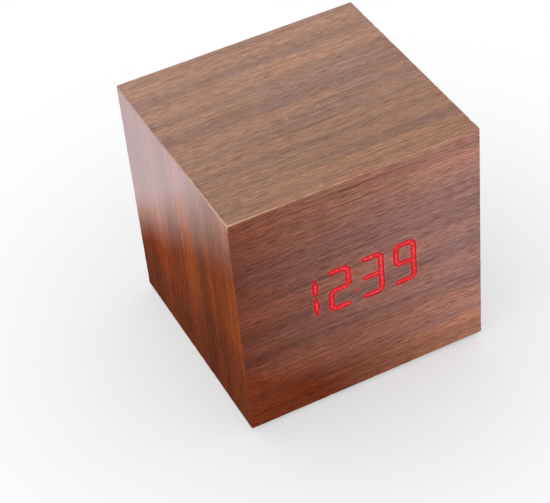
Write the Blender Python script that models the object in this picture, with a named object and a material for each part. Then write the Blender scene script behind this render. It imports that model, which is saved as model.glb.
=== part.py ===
"""Cube-shaped wooden digital clock.

A folded, veneered fibreboard case holds a seven-segment display that shines through the front veneer,
a control board behind the back panel and a battery tray in the base.

Lengths are in metres. X runs to the right as seen from the front, Y towards the back and Z up. The
origin is under the middle of the case, on the surface that the feet stand on.
"""

import math

import bmesh
import bpy
from mathutils import Vector

# Fits that every piece shares
GLUE_GAP = 0.0001
CLEARANCE = 0.0003
SLOT_CLEARANCE = 0.00015
OVERRUN = 0.001
OVERLAP = 0.0002
SMOOTH_ANGLE = math.radians(30)
ROUND_SIDES = 24
SMALL_SIDES = 12

# Battery cells and the tray that they lie in
CELL_COUNT = 3
CELL_LENGTH = 0.0445
CELL_RADIUS = 0.00525
CELL_SPACING = 0.0008
CELL_EDGE = 0.0004
CELL_CAN_SHOULDER = 0.0006
NUB_RADIUS = 0.0019
NUB_LENGTH = 0.0008
CONTACT_THICKNESS = 0.0004
CONTACT_SIZE = 0.0080
CONTACT_TAB_WIDTH = 0.0024
CONTACT_TAB_RISE = 0.0020
SPRING_LENGTH = 0.0029
SPRING_TURNS = 3
SPRING_WIRE_RADIUS = 0.0003
SPRING_WIDE_RADIUS = 0.0034
SPRING_TIP_RADIUS = 0.0016
TRAY_WALL = 0.0010
TRAY_RIB_THICKNESS = 0.0008
TRAY_RIB_DEPTH = 0.0025
TRAY_SIDE_ROOM = 0.0014
FLANGE_THICKNESS = 0.0020
FLANGE_END_RIM = 0.0026
FLANGE_SIDE_RIM = 0.0056
FLANGE_CORNER = 0.0020
DOOR_THICKNESS = 0.0016
DOOR_INSET = 0.0002
DOOR_PIN_RADIUS = 0.00045
DOOR_PIN_LENGTH = 0.0012
DOOR_LATCH_WIDTH = 0.0080
DOOR_LATCH_RISE = 0.0020
DOOR_LATCH_THICKNESS = 0.0010
DOOR_GRIP_COUNT = 3
DOOR_GRIP_WIDTH = 0.0120
DOOR_GRIP_THICKNESS = 0.0007
DOOR_GRIP_SPACING = 0.0018
NAIL_NOTCH_RADIUS = 0.0035
NAIL_NOTCH_DEPTH = 0.0010

# Case. It is as wide as its cells, tray and walls need, as high as it is wide, and as deep as the tray's
# flange and the base left in front of it and behind it
BOARD = 0.0040
VENEER = 0.0005
BAY_LENGTH = CELL_LENGTH + SPRING_LENGTH + 2 * (CONTACT_THICKNESS + GLUE_GAP + CLEARANCE)
CASE_WALL = VENEER + GLUE_GAP + BOARD
CASE_WIDTH = BAY_LENGTH + 2 * (TRAY_WALL + TRAY_SIDE_ROOM + CASE_WALL)
CASE_HEIGHT = CASE_WIDTH
BAY_DEPTH = CELL_COUNT * 2 * CELL_RADIUS + (CELL_COUNT - 1) * CELL_SPACING + 2 * CLEARANCE
BASE_RIM = 0.00755
CASE_DEPTH = BAY_DEPTH + 2 * (FLANGE_SIDE_RIM + BASE_RIM)
EDGE_RADIUS = 0.0004
EDGE_STEPS = 2
FOOT_HEIGHT = 0.0010
FOOT_RADIUS = 0.0026
FOOT_SIDE_INSET = 0.0045
FOOT_EDGE = 0.0003

# Display
DISPLAY_SHIFT = -0.00165
DISPLAY_RISE = 0.0327
DIGIT_PITCH = 0.0085
DIGIT_WIDTH = 0.0046
DIGIT_HEIGHT = 0.0111
SEGMENT_WIDTH = 0.0013
SEGMENT_TIP_GAP = 0.00045
COLON_DOT_RADIUS = 0.00055
COLON_DOT_SPACING = 0.0054
HOUSING_MARGIN = 0.0012
HOUSING_FLANGE = 0.0018
HOUSING_EAR = 0.0050
HOUSING_BOSS_RADIUS = 0.0019
GUIDE_CARRIER = 0.0008
GUIDE_CARRIER_MARGIN = 0.0002
LED_LENGTH = 0.0012
LED_WIDTH = 0.0008
LED_HEIGHT = 0.0005
CIRCUIT_BOARD = 0.0016
HEADER_LENGTH = 0.0090
HEADER_WIDTH = 0.0032
HEADER_HEIGHT = 0.0042
DISPLAY_HEADER_RISE = 0.0040

# Screws
SCREW_RADIUS = 0.0008
SCREW_HEAD_RADIUS = 0.0016
SCREW_HEAD_HEIGHT = 0.0011
SCREW_RECESS_RADIUS = 0.0006
SCREW_RECESS_DEPTH = 0.0006
SCREW_BITE = 0.0030

# Controls and the board behind them
CONTROL_RISE = 0.0380
PLATE_RECESS = 0.0010
PLATE_THICKNESS = 0.0015
PLATE_HEIGHT = 0.0120
PLATE_LEDGE = 0.0012
PLATE_EDGE = 0.0002
BOARD_SETBACK = 0.0104
POST_RADIUS = 0.0018
POST_INSET = 0.0033
BUTTON_PITCH = 0.0075
BUTTON_CAP_RADIUS = 0.0021
BUTTON_CAP_CROWN = 0.0003
BUTTON_COLLAR_RADIUS = 0.0029
BUTTON_COLLAR_THICKNESS = 0.0008
BUTTON_STEM_RADIUS = 0.0016
BUTTON_STANDOFF = 0.0002
BUTTON_TRAVEL = 0.0005
SWITCH_SIZE = 0.0060
SWITCH_HEIGHT = 0.0035
SWITCH_FLOOR = 0.0005
SOCKET_WIDTH = 0.0084
SOCKET_HEIGHT = 0.0065
SOCKET_BORE_RADIUS = 0.00185
SOCKET_BORE_DEPTH = 0.0065
SOCKET_PIN_RADIUS = 0.00065
SOCKET_PIN_LENGTH = 0.0055
MICROPHONE_RADIUS = 0.0020
MICROPHONE_HEIGHT = 0.0022
MICROPHONE_HOLE_RADIUS = 0.0006
POST_TO_SOCKET = 0.0005
SOCKET_TO_SWITCH = 0.0013
SWITCH_TO_MICROPHONE = 0.0007
MICROPHONE_TO_POST = 0.0015
SWITCH_ROW = 2 * BUTTON_PITCH + SWITCH_SIZE
PLATE_LENGTH = (
    2 * (POST_INSET + POST_RADIUS)
    + POST_TO_SOCKET
    + SOCKET_WIDTH
    + SOCKET_TO_SWITCH
    + SWITCH_ROW
    + SWITCH_TO_MICROPHONE
    + 2 * MICROPHONE_RADIUS
    + MICROPHONE_TO_POST
)
SOCKET_SHIFT = POST_INSET + POST_RADIUS + POST_TO_SOCKET + SOCKET_WIDTH / 2 - PLATE_LENGTH / 2
BUTTON_GROUP_SHIFT = SOCKET_SHIFT + SOCKET_WIDTH / 2 + SOCKET_TO_SWITCH + SWITCH_ROW / 2
MICROPHONE_SHIFT = BUTTON_GROUP_SHIFT + SWITCH_ROW / 2 + SWITCH_TO_MICROPHONE + MICROPHONE_RADIUS
CHIP_LENGTH = 0.0180
CHIP_WIDTH = 0.0075
CHIP_HEIGHT = 0.0024
CHIP_LEG_REACH = 0.0014
CHIP_LEG_WIDTH = 0.0005
CHIP_LEG_HEIGHT = 0.0009
CHIP_LEGS_EACH_SIDE = 10
CRYSTAL_LENGTH = 0.0105
CRYSTAL_WIDTH = 0.0045
CRYSTAL_HEIGHT = 0.0035
BUZZER_RADIUS = 0.0048
BUZZER_HEIGHT = 0.0055
BUZZER_HOLE_RADIUS = 0.0008
BUZZER_HOLE_DEPTH = 0.0010
COIN_RADIUS = 0.00625
COIN_THICKNESS = 0.0020
CLIP_WALL = 0.0006
CLIP_FLOOR = 0.0006
CLIP_REACH = 0.0030
CLIP_RADIUS = COIN_RADIUS + CLEARANCE + CLIP_WALL
CLIP_OVERHANG = 0.00013
CHIP_TO_CLIP = 0.00018
CHIP_EDGE_ROOM = 0.00135
CHIP_SPAN = CHIP_WIDTH + 2 * CHIP_LEG_REACH
MAIN_BOARD_HEIGHT = CHIP_EDGE_ROOM + CHIP_SPAN + CHIP_TO_CLIP + 2 * CLIP_RADIUS - CLIP_OVERHANG
CAPACITOR_RADIUS = 0.0025
CAPACITOR_HEIGHT = 0.0070
CAPACITOR_GROOVE = 0.0002
SENSOR_RADIUS = 0.0012
SENSOR_LENGTH = 0.0040
LEAD_RADIUS = 0.00025
LEAD_LENGTH = 0.0020
LEAD_SPACING = 0.0012
BATTERY_HEADER_LENGTH = 0.0060
BATTERY_HEADER_WIDTH = 0.0035
RIBBON_WIDTH = 0.0080
RIBBON_THICKNESS = 0.0005
RIBBON_STEPS = 14
PLUG_HEIGHT = 0.0014
PLUG_MARGIN = 0.0006
WIRE_RADIUS = 0.0005
WIRE_SPREAD = 0.0024

# Where the parts on the inner side of the main board stand, as shares of its half length and half height.
# The chip and the clip stand above each other, and only their places along the board are shares
CHIP_ALONG_SHARE = -0.30
CRYSTAL_PLACE_SHARES = (0.42, -0.24)
BUZZER_PLACE_SHARES = (0.70, 0.50)
CLIP_ALONG_SHARE = -0.59
CAPACITOR_PLACE_SHARES = (-0.04, 0.42)
HEADER_PLACE_SHARES = (0.18, 0.81)
SENSOR_PLACE_SHARES = (0.86, -0.62)
BATTERY_HEADER_PLACE_SHARES = (0.42, -0.80)

# The seven segments: name, centre as shares of half the digit's width and height, and whether upright
SEGMENT_PLACE_SHARES = (
    ("a", 0.0, 1.0, False),
    ("b", 1.0, 0.5, True),
    ("c", 1.0, -0.5, True),
    ("d", 0.0, -1.0, False),
    ("e", -1.0, -0.5, True),
    ("f", -1.0, 0.5, True),
    ("g", 0.0, 0.0, False),
)
DIGITS = (
    ("hour_tens_light", "bc"),
    ("hour_units_light", "abged"),
    ("minute_tens_light", "abgcd"),
    ("minute_units_light", "abcdfg"),
)


def clear_scene():
    for obj in list(bpy.data.objects):
        bpy.data.objects.remove(obj, do_unlink=True)


def finish(name, colour, roughness, metallic=0.0):
    """A Principled material with one colour."""
    material = bpy.data.materials.new(name)
    material.use_nodes = True
    shader = material.node_tree.nodes["Principled BSDF"]
    shader.inputs["Base Color"].default_value = (*colour, 1.0)
    shader.inputs["Roughness"].default_value = roughness
    shader.inputs["Metallic"].default_value = metallic
    return material


def group(name, place, parent=None):
    """An empty that carries one module of the clock."""
    empty = bpy.data.objects.new(name, None)
    bpy.context.collection.objects.link(empty)
    empty.location = place
    empty.parent = parent
    return empty


def add_object(name, form, place, parent, material=None, direction=None):
    """Turns a bmesh form into an object; direction is where the form's own Z axis points."""
    bmesh.ops.recalc_face_normals(form, faces=form.faces)
    mesh = bpy.data.meshes.new(name)
    form.to_mesh(mesh)
    form.free()
    obj = bpy.data.objects.new(name, mesh)
    bpy.context.collection.objects.link(obj)
    obj.location = place
    obj.parent = parent
    if direction is not None:
        obj.rotation_euler = Vector(direction).to_track_quat("Z", "Y").to_euler()
    if material is not None:
        mesh.materials.append(material)
    return obj


def shade_round(obj):
    obj.data.shade_smooth()
    obj.data.set_sharp_from_angle(angle=SMOOTH_ANGLE)
    return obj


def about(middle, length):
    """The (low, high) pair of this length about a middle."""
    return (middle - length / 2, middle + length / 2)


def grown(limits, margin):
    return (limits[0] - margin, limits[1] + margin)


def middle_of(limits):
    return (limits[0] + limits[1]) / 2


def box_form(x, y, z, form=None):
    """Adds a box between three (low, high) pairs to a form."""
    form = form or bmesh.new()
    corners = [form.verts.new((a, b, c)) for a in x for b in y for c in z]
    for face in ((0, 1, 3, 2), (4, 6, 7, 5), (0, 4, 5, 1), (2, 3, 7, 6), (0, 2, 6, 4), (1, 5, 7, 3)):
        form.faces.new([corners[index] for index in face])
    return form


def box(name, x, y, z, parent, material=None):
    """A box between three (low, high) pairs of its parent's frame, with its origin at its middle."""
    place = Vector((middle_of(x), middle_of(y), middle_of(z)))
    spans = [(low - centre, high - centre) for (low, high), centre in zip((x, y, z), place)]
    return add_object(name, box_form(*spans), place, parent, material)


def prism_form(outline, low, high, axis="Z", form=None):
    """Extrudes an outline from low to high: (x, z) points along Y, (y, z) along X or (x, y) along Z."""
    form = form or bmesh.new()
    placed = {"X": lambda u, v: (low, u, v), "Y": lambda u, v: (u, low, v), "Z": lambda u, v: (u, v, low)}
    step = {"X": Vector((1, 0, 0)), "Y": Vector((0, 1, 0)), "Z": Vector((0, 0, 1))}[axis] * (high - low)
    face = form.faces.new([form.verts.new(placed[axis](u, v)) for u, v in outline])
    moved = bmesh.ops.extrude_face_region(form, geom=[face], use_keep_orig=True)["geom"]
    bmesh.ops.translate(form, vec=step, verts=[item for item in moved if isinstance(item, bmesh.types.BMVert)])
    return form


def prism(name, outline, limits, axis, parent, material=None):
    """An outline extruded between two limits of its parent's frame, with its origin midway."""
    half = (limits[1] - limits[0]) / 2
    place = {"X": (1, 0, 0), "Y": (0, 1, 0), "Z": (0, 0, 1)}[axis]
    form = prism_form(outline, -half, half, axis)
    return add_object(name, form, Vector(place) * middle_of(limits), parent, material)


def rod(name, start, end, radius, parent, material=None, sides=ROUND_SIDES):
    """A round rod from one point to another."""
    start, end = Vector(start), Vector(end)
    form = bmesh.new()
    bmesh.ops.create_cone(
        form,
        cap_ends=True,
        segments=sides,
        radius1=radius,
        radius2=radius,
        depth=(end - start).length,
    )
    return shade_round(add_object(name, form, (start + end) / 2, parent, material, end - start))


def turned(name, profile, place, direction, parent, material=None, sides=ROUND_SIDES):
    """A profile of (radius, height) points, from axis to axis, spun about its own Z axis."""
    form = bmesh.new()
    points = [form.verts.new((radius, 0, height)) for radius, height in profile]
    edges = [form.edges.new(pair) for pair in zip(points, points[1:])]
    bmesh.ops.spin(
        form, geom=points + edges, axis=(0, 0, 1), cent=(0, 0, 0), angle=math.tau, steps=sides, use_merge=True
    )
    bmesh.ops.remove_doubles(form, verts=form.verts, dist=GLUE_GAP / 100)
    return shade_round(add_object(name, form, place, parent, material, direction))


def arc(centre, radius, start, stop, steps):
    """Points along an arc, both ends included; the angles are in quarter turns."""
    angles = [(start + (stop - start) * step / steps) * math.pi / 2 for step in range(steps + 1)]
    return [(centre[0] + radius * math.cos(a), centre[1] + radius * math.sin(a)) for a in angles]


def rounded_outline(half_u, half_v, radius, steps=4):
    """A rectangle with round corners, about zero."""
    inner_u, inner_v = half_u - radius, half_v - radius
    corners = ((inner_u, inner_v), (-inner_u, inner_v), (-inner_u, -inner_v), (inner_u, -inner_v))
    return [point for turn, corner in enumerate(corners) for point in arc(corner, radius, turn, turn + 1, steps)]


def helper(obj):
    obj.hide_render = True
    obj.display_type = "WIRE"
    return obj


def combine(target, operation, tools):
    for tool in tools:
        boolean = target.modifiers.new(f"{operation.lower()} {tool.name}", "BOOLEAN")
        boolean.operation = operation
        boolean.solver = "EXACT"
        boolean.object = helper(tool)
    return target


def cut(target, *tools):
    return combine(target, "DIFFERENCE", tools)


def join(target, *tools):
    return combine(target, "UNION", tools)


def bevel_edges(obj, width, segments=1):
    bevel = obj.modifiers.new("eased edges", "BEVEL")
    bevel.width = width
    bevel.segments = segments
    bevel.limit_method = "ANGLE"
    return obj


def make_finishes():
    return {
        "veneer": finish("brown wood veneer", (0.23, 0.115, 0.065), 0.45),
        "board": finish("fibreboard", (0.36, 0.24, 0.14), 0.85),
        "black": finish("black moulded plastic", (0.015, 0.015, 0.016), 0.45),
        "white": finish("white moulded plastic", (0.75, 0.75, 0.72), 0.5),
        "light": finish("lit red light guide", (0.80, 0.02, 0.03), 0.35),
        "circuit": finish("green circuit board", (0.02, 0.16, 0.06), 0.4),
        "chip": finish("black epoxy", (0.02, 0.02, 0.022), 0.55),
        "steel": finish("plated steel", (0.62, 0.61, 0.58), 0.3, 1.0),
        "cell": finish("battery jacket", (0.05, 0.10, 0.28), 0.35, 0.3),
        "sleeve": finish("dark blue sleeve", (0.02, 0.03, 0.12), 0.4),
        "sensor": finish("blue epoxy bead", (0.03, 0.08, 0.30), 0.4),
        "ribbon": finish("grey ribbon cable", (0.35, 0.35, 0.36), 0.6),
        "red wire": finish("red insulation", (0.55, 0.02, 0.02), 0.5),
        "black wire": finish("black insulation", (0.02, 0.02, 0.02), 0.5),
        "rubber": finish("grey rubber foot", (0.06, 0.06, 0.06), 0.85),
    }


def screw(name, head_top, tip, parent, finishes):
    """A pan-head screw from the top of its head to its tip, with a round driver recess."""
    head_top, tip = Vector(head_top), Vector(tip)
    length = (head_top - tip).length
    profile = (
        (0, 0),
        (SCREW_RADIUS / 2, 0),
        (SCREW_RADIUS, SCREW_RADIUS),
        (SCREW_RADIUS, length - SCREW_HEAD_HEIGHT),
        (SCREW_HEAD_RADIUS, length - SCREW_HEAD_HEIGHT),
        (SCREW_HEAD_RADIUS, length - SCREW_HEAD_HEIGHT / 3),
        (SCREW_HEAD_RADIUS - SCREW_HEAD_HEIGHT / 3, length),
        (SCREW_RECESS_RADIUS, length),
        (SCREW_RECESS_RADIUS, length - SCREW_RECESS_DEPTH),
        (0, length - SCREW_RECESS_DEPTH),
    )
    return turned(name, profile, tip, head_top - tip, parent, finishes["steel"], SMALL_SIDES)


def half_case(less=0.0):
    """Half the case's width, depth and height, less a layer all round."""
    return CASE_WIDTH / 2 - less, CASE_DEPTH / 2 - less, CASE_HEIGHT / 2 - less


def rounded_case_form(name, case):
    """The outer form of the case with its eased edges, which trims every veneer."""
    half_x, half_y, half_z = half_case()
    form = helper(box(name, (-half_x, half_x), (-half_y, half_y), (-half_z, half_z), case))
    return bevel_edges(form, EDGE_RADIUS, EDGE_STEPS)


def veneer(name, x, y, z, case, finishes):
    """One sheet of veneer, cut to the case's rounded outer form."""
    sheet = box(name, x, y, z, case, finishes["veneer"])
    return combine(sheet, "INTERSECT", [rounded_case_form(f"{name} outer form", case)])


def wrap_veneers(case, finishes):
    """The top, bottom, left and right sheets, between the front and the back sheet."""
    half_x, half_y, half_z = half_case()
    y = (-half_y + VENEER + GLUE_GAP, half_y - VENEER - GLUE_GAP)
    wide = (-half_x - OVERRUN, half_x + OVERRUN)
    tall = (-half_z + VENEER + GLUE_GAP, half_z - VENEER - GLUE_GAP)
    veneer("top_veneer", wide, y, (half_z - VENEER, half_z + OVERRUN), case, finishes)
    bottom = veneer("bottom_veneer", wide, y, (-half_z - OVERRUN, -half_z + VENEER), case, finishes)
    veneer("left_veneer", (-half_x - OVERRUN, -half_x + VENEER), y, tall, case, finishes)
    veneer("right_veneer", (half_x - VENEER, half_x + OVERRUN), y, tall, case, finishes)
    return bottom


def face_veneer(name, side, case, finishes):
    """The sheet that covers the whole front (side -1) or back (side 1)."""
    half_x, half_y, half_z = half_case()
    limits = sorted((side * (half_y - VENEER), side * (half_y + OVERRUN)))
    wide = (-half_x - OVERRUN, half_x + OVERRUN)
    tall = (-half_z - OVERRUN, half_z + OVERRUN)
    return veneer(name, wide, limits, tall, case, finishes)


def wrap_board(name, width, reach, turn, case, finishes):
    """One mitred board of the folded wrap: width across its outer face, reach from the case's middle."""
    _, half_y, _ = half_case(VENEER + GLUE_GAP)
    outer = width / 2 - VENEER - 2 * GLUE_GAP
    inner = outer - BOARD
    half = BOARD / 2
    outline = ((-outer, half), (outer, half), (inner, -half), (-inner, -half))
    form = prism_form(outline, -half_y, half_y, "Y")
    angle = turn * math.pi / 2
    offset = reach - VENEER - GLUE_GAP - half
    place = (offset * math.sin(angle), 0, offset * math.cos(angle))
    board = add_object(name, form, place, case, finishes["board"])
    board.rotation_euler = (0, angle, 0)
    return board


def wrap_boards(case, finishes):
    half_x, _, half_z = half_case()
    wrap_board("top_panel", CASE_WIDTH, half_z, 0, case, finishes)
    wrap_board("right_panel", CASE_HEIGHT, half_x, 1, case, finishes)
    wrap_board("left_panel", CASE_HEIGHT, half_x, -1, case, finishes)
    return wrap_board("bottom_panel", CASE_WIDTH, half_z, 2, case, finishes)


def face_board(name, side, case, finishes):
    """The board set inside the wrap at the front (side -1) or back (side 1)."""
    half_x, _, half_z = half_case(CASE_WALL + GLUE_GAP)
    _, half_y, _ = half_case(VENEER + GLUE_GAP)
    limits = sorted((side * half_y, side * (half_y - BOARD)))
    return box(name, (-half_x, half_x), limits, (-half_z, half_z), case, finishes["board"])


def make_feet(case, finishes, flange_half_depth):
    """Four stick-on feet, midway between the tray's flange and the front or back edge."""
    half_x, half_y, half_z = half_case()
    profile = (
        (0, 0),
        (FOOT_RADIUS - FOOT_EDGE, 0),
        (FOOT_RADIUS, FOOT_EDGE),
        (FOOT_RADIUS, FOOT_HEIGHT - GLUE_GAP),
        (0, FOOT_HEIGHT - GLUE_GAP),
    )
    for row, side_y in (("front", -1), ("back", 1)):
        for column, side_x in (("left", -1), ("right", 1)):
            place = (
                side_x * (half_x - FOOT_SIDE_INSET),
                side_y * (half_y + flange_half_depth) / 2,
                -half_z - FOOT_HEIGHT,
            )
            turned(f"foot_{row}_{column}", profile, place, (0, 0, 1), case, finishes["rubber"])


def segment_outline(name, centre_x, grow=0.0):
    """One pointed segment bar of the digit about centre_x, grown all round by a clearance."""
    _, share_x, share_z, upright = next(row for row in SEGMENT_PLACE_SHARES if row[0] == name)
    span = DIGIT_HEIGHT / 2 if upright else DIGIT_WIDTH
    half = span / 2 - SEGMENT_TIP_GAP + grow * math.sqrt(2)
    thick = SEGMENT_WIDTH / 2 + grow
    points = [(-half, 0), (thick - half, -thick), (half - thick, -thick)]
    points += [(half, 0), (half - thick, thick), (thick - half, thick)]
    middle = (centre_x + share_x * DIGIT_WIDTH / 2, share_z * DIGIT_HEIGHT / 2)
    if upright:
        points = [(v, u) for u, v in points]
    return [(middle[0] + u, middle[1] + v) for u, v in points]


def digit_centres():
    return [(place - (len(DIGITS) - 1) / 2) * DIGIT_PITCH for place in range(len(DIGITS))]


def disc_outline(centre, radius, sides=SMALL_SIDES):
    return arc(centre, radius, 0, 4, sides)[:-1]


def colon_outlines(grow=0.0):
    return [disc_outline((0, side * COLON_DOT_SPACING / 2), COLON_DOT_RADIUS + grow) for side in (-1, 1)]


def display_depths():
    """How far behind the front face each layer of the display lies."""
    nose = VENEER + GLUE_GAP
    flange = nose + BOARD + GLUE_GAP
    flange_back = flange + HOUSING_FLANGE
    carrier = flange_back + CLEARANCE
    led = carrier + GUIDE_CARRIER + CLEARANCE
    board = led + LED_HEIGHT
    return {
        "nose": nose,
        "flange": flange,
        "flange back": flange_back,
        "carrier": carrier,
        "led": led,
        "board": board,
        "board back": board + CIRCUIT_BOARD,
    }


def nose_half_size():
    """Half the width and height of the part of the housing that fills the front panel's window."""
    across = (len(DIGITS) - 1) * DIGIT_PITCH + DIGIT_WIDTH + SEGMENT_WIDTH
    return across / 2 + HOUSING_MARGIN, (DIGIT_HEIGHT + SEGMENT_WIDTH) / 2 + HOUSING_MARGIN


def display_screw_places():
    half_x, _ = nose_half_size()
    return [(side, side * (half_x + HOUSING_EAR / 2)) for side in (-1, 1)]


def all_segment_form(low, high, grow):
    form = bmesh.new()
    for centre in digit_centres():
        for row in SEGMENT_PLACE_SHARES:
            prism_form(segment_outline(row[0], centre, grow), low, high, "Y", form)
    for outline in colon_outlines(grow):
        prism_form(outline, low, high, "Y", form)
    return form


def make_display_housing(module, finishes):
    """The block with a slot for each segment: its nose fills the window, its flange lies on the panel."""
    deep = display_depths()
    half_x, half_z = nose_half_size()
    flange_x, flange_z = half_x + HOUSING_EAR, half_z + HOUSING_MARGIN
    housing = box(
        "display_housing",
        (-flange_x, flange_x),
        (deep["flange"], deep["flange back"]),
        (-flange_z, flange_z),
        module,
        finishes["white"],
    )
    nose_y = (deep["nose"], deep["flange"] + OVERLAP)
    nose = box("housing nose", (-half_x, half_x), nose_y, (-half_z, half_z), module)
    bosses = []
    bores = []
    for side, x in display_screw_places():
        start, end = deep["flange back"] - OVERLAP, deep["board"] - CLEARANCE
        bosses.append(rod(f"housing boss {side}", (x, start, 0), (x, end, 0), HOUSING_BOSS_RADIUS, module))
        start, end = deep["flange"] - OVERRUN, deep["board"] + OVERRUN
        radius = SCREW_RADIUS + CLEARANCE
        bores.append(rod(f"housing bore {side}", (x, start, 0), (x, end, 0), radius, module, None, SMALL_SIDES))
    slots = all_segment_form(deep["nose"] - OVERRUN, deep["flange back"] + OVERRUN, SLOT_CLEARANCE)
    join(housing, nose, *bosses)
    return cut(housing, add_object("housing slots", slots, (0, 0, 0), module), *bores)


def make_light_guides(module, finishes):
    """One guide for each digit: seven bars on a carrier, of which the lit ones reach the front face."""
    deep = display_depths()
    half_x = (DIGIT_WIDTH + SEGMENT_WIDTH) / 2 + GUIDE_CARRIER_MARGIN
    half_z = (DIGIT_HEIGHT + SEGMENT_WIDTH) / 2 + GUIDE_CARRIER_MARGIN
    carrier_y = (deep["carrier"], deep["carrier"] + GUIDE_CARRIER)
    for (name, lit), centre in zip(DIGITS, digit_centres()):
        carrier_x = (centre - half_x, centre + half_x)
        guide = box(name, carrier_x, carrier_y, (-half_z, half_z), module, finishes["light"])
        bars = bmesh.new()
        for row in SEGMENT_PLACE_SHARES:
            front = 0.0 if row[0] in lit else deep["nose"]
            prism_form(segment_outline(row[0], centre), front, deep["carrier"] + OVERLAP, "Y", bars)
        join(guide, add_object(f"{name} bars", bars, (0, 0, 0), module))
    colon_half_x = DIGIT_PITCH / 2 - half_x - CLEARANCE
    colon_x, colon_z = (-colon_half_x, colon_half_x), about(0, COLON_DOT_SPACING + 4 * COLON_DOT_RADIUS)
    colon = box("colon_light", colon_x, carrier_y, colon_z, module, finishes["light"])
    dots = bmesh.new()
    for outline in colon_outlines():
        prism_form(outline, 0.0, deep["carrier"] + OVERLAP, "Y", dots)
    join(colon, add_object("colon dots", dots, (0, 0, 0), module))


def make_front_windows(module, sheet, board):
    """Cuts the lit segments out of the front veneer and the housing's window out of the front panel."""
    windows = bmesh.new()
    outlines = [
        segment_outline(segment, centre, SLOT_CLEARANCE)
        for (_, lit), centre in zip(DIGITS, digit_centres())
        for segment in lit
    ]
    for outline in outlines + colon_outlines(SLOT_CLEARANCE):
        prism_form(outline, -OVERRUN, VENEER + OVERRUN, "Y", windows)
    cut(sheet, add_object("veneer windows", windows, (0, 0, 0), module))
    half_x, half_z = nose_half_size()
    window_x = grown((-half_x, half_x), CLEARANCE)
    window_y = (VENEER - OVERRUN, VENEER + GLUE_GAP + BOARD + OVERRUN)
    window = box("panel window", window_x, window_y, grown((-half_z, half_z), CLEARANCE), module)
    deep = display_depths()
    pilots = [
        rod(
            f"panel pilot {side}",
            (x, deep["flange"] - SCREW_BITE - CLEARANCE, 0),
            (x, deep["flange"] + OVERRUN, 0),
            SCREW_RADIUS + CLEARANCE,
            module,
            None,
            SMALL_SIDES,
        )
        for side, x in display_screw_places()
    ]
    cut(board, window, *pilots)


def make_display_board(module, finishes):
    """The circuit board behind the housing, with a diode for each segment and the ribbon's header."""
    deep = display_depths()
    half_x, half_z = nose_half_size()
    board_x, board_z = half_x + HOUSING_EAR, half_z + HOUSING_MARGIN
    board = box(
        "display_board",
        (-board_x, board_x),
        (deep["board"], deep["board back"]),
        (-board_z, board_z),
        module,
        finishes["circuit"],
    )
    diodes = bmesh.new()
    lamp_y = (deep["led"], deep["board"] + OVERLAP)
    for centre in digit_centres():
        for _, share_x, share_z, upright in SEGMENT_PLACE_SHARES:
            size_x, size_z = (LED_WIDTH, LED_LENGTH) if upright else (LED_LENGTH, LED_WIDTH)
            x, z = centre + share_x * DIGIT_WIDTH / 2, share_z * DIGIT_HEIGHT / 2
            box_form(about(x, size_x), lamp_y, about(z, size_z), diodes)
    for side in (-1, 1):
        box_form(about(0, LED_WIDTH), lamp_y, about(side * COLON_DOT_SPACING / 2, LED_WIDTH), diodes)
    header = box(
        "display header",
        about(ribbon_middle() - DISPLAY_SHIFT, HEADER_LENGTH),
        (deep["board back"] - OVERLAP, deep["board back"] + HEADER_HEIGHT),
        about(DISPLAY_HEADER_RISE, HEADER_WIDTH),
        module,
    )
    join(board, add_object("diodes", diodes, (0, 0, 0), module), header)
    bores = []
    for side, x in display_screw_places():
        start, end = deep["board"] - OVERRUN, deep["board back"] + OVERRUN
        radius = SCREW_RADIUS + CLEARANCE
        bores.append(rod(f"board bore {side}", (x, start, 0), (x, end, 0), radius, module, None, SMALL_SIDES))
        head = deep["board back"] + CLEARANCE + SCREW_HEAD_HEIGHT
        tip = deep["flange"] - SCREW_BITE
        label = "left" if side < 0 else "right"
        screw(f"display_screw_{label}", (x, head, 0), (x, tip, 0), module, finishes)
    return cut(board, *bores)


def rear_depths():
    """How far in front of the back face each layer behind the controls lies, as negative Y."""
    plate = -PLATE_RECESS
    plate_inner = plate - PLATE_THICKNESS
    return {
        "plate": plate,
        "plate inner": plate_inner,
        "board": -BOARD_SETBACK,
        "board front": -BOARD_SETBACK - CIRCUIT_BOARD,
        "mounted": -BOARD_SETBACK + GLUE_GAP,
    }


def board_half_size():
    return PLATE_LENGTH / 2, MAIN_BOARD_HEIGHT / 2


def place_on_board(shares):
    half_x, half_z = board_half_size()
    return shares[0] * half_x, shares[1] * half_z


def ribbon_middle():
    return place_on_board(HEADER_PLACE_SHARES)[0]


def button_places():
    """The three buttons and the X of each."""
    names = ("set", "up", "down")
    return [(name, BUTTON_GROUP_SHIFT + (place - 1) * BUTTON_PITCH) for place, name in enumerate(names)]


def post_places():
    return [(side, side * (PLATE_LENGTH / 2 - POST_INSET)) for side in (-1, 1)]


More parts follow.
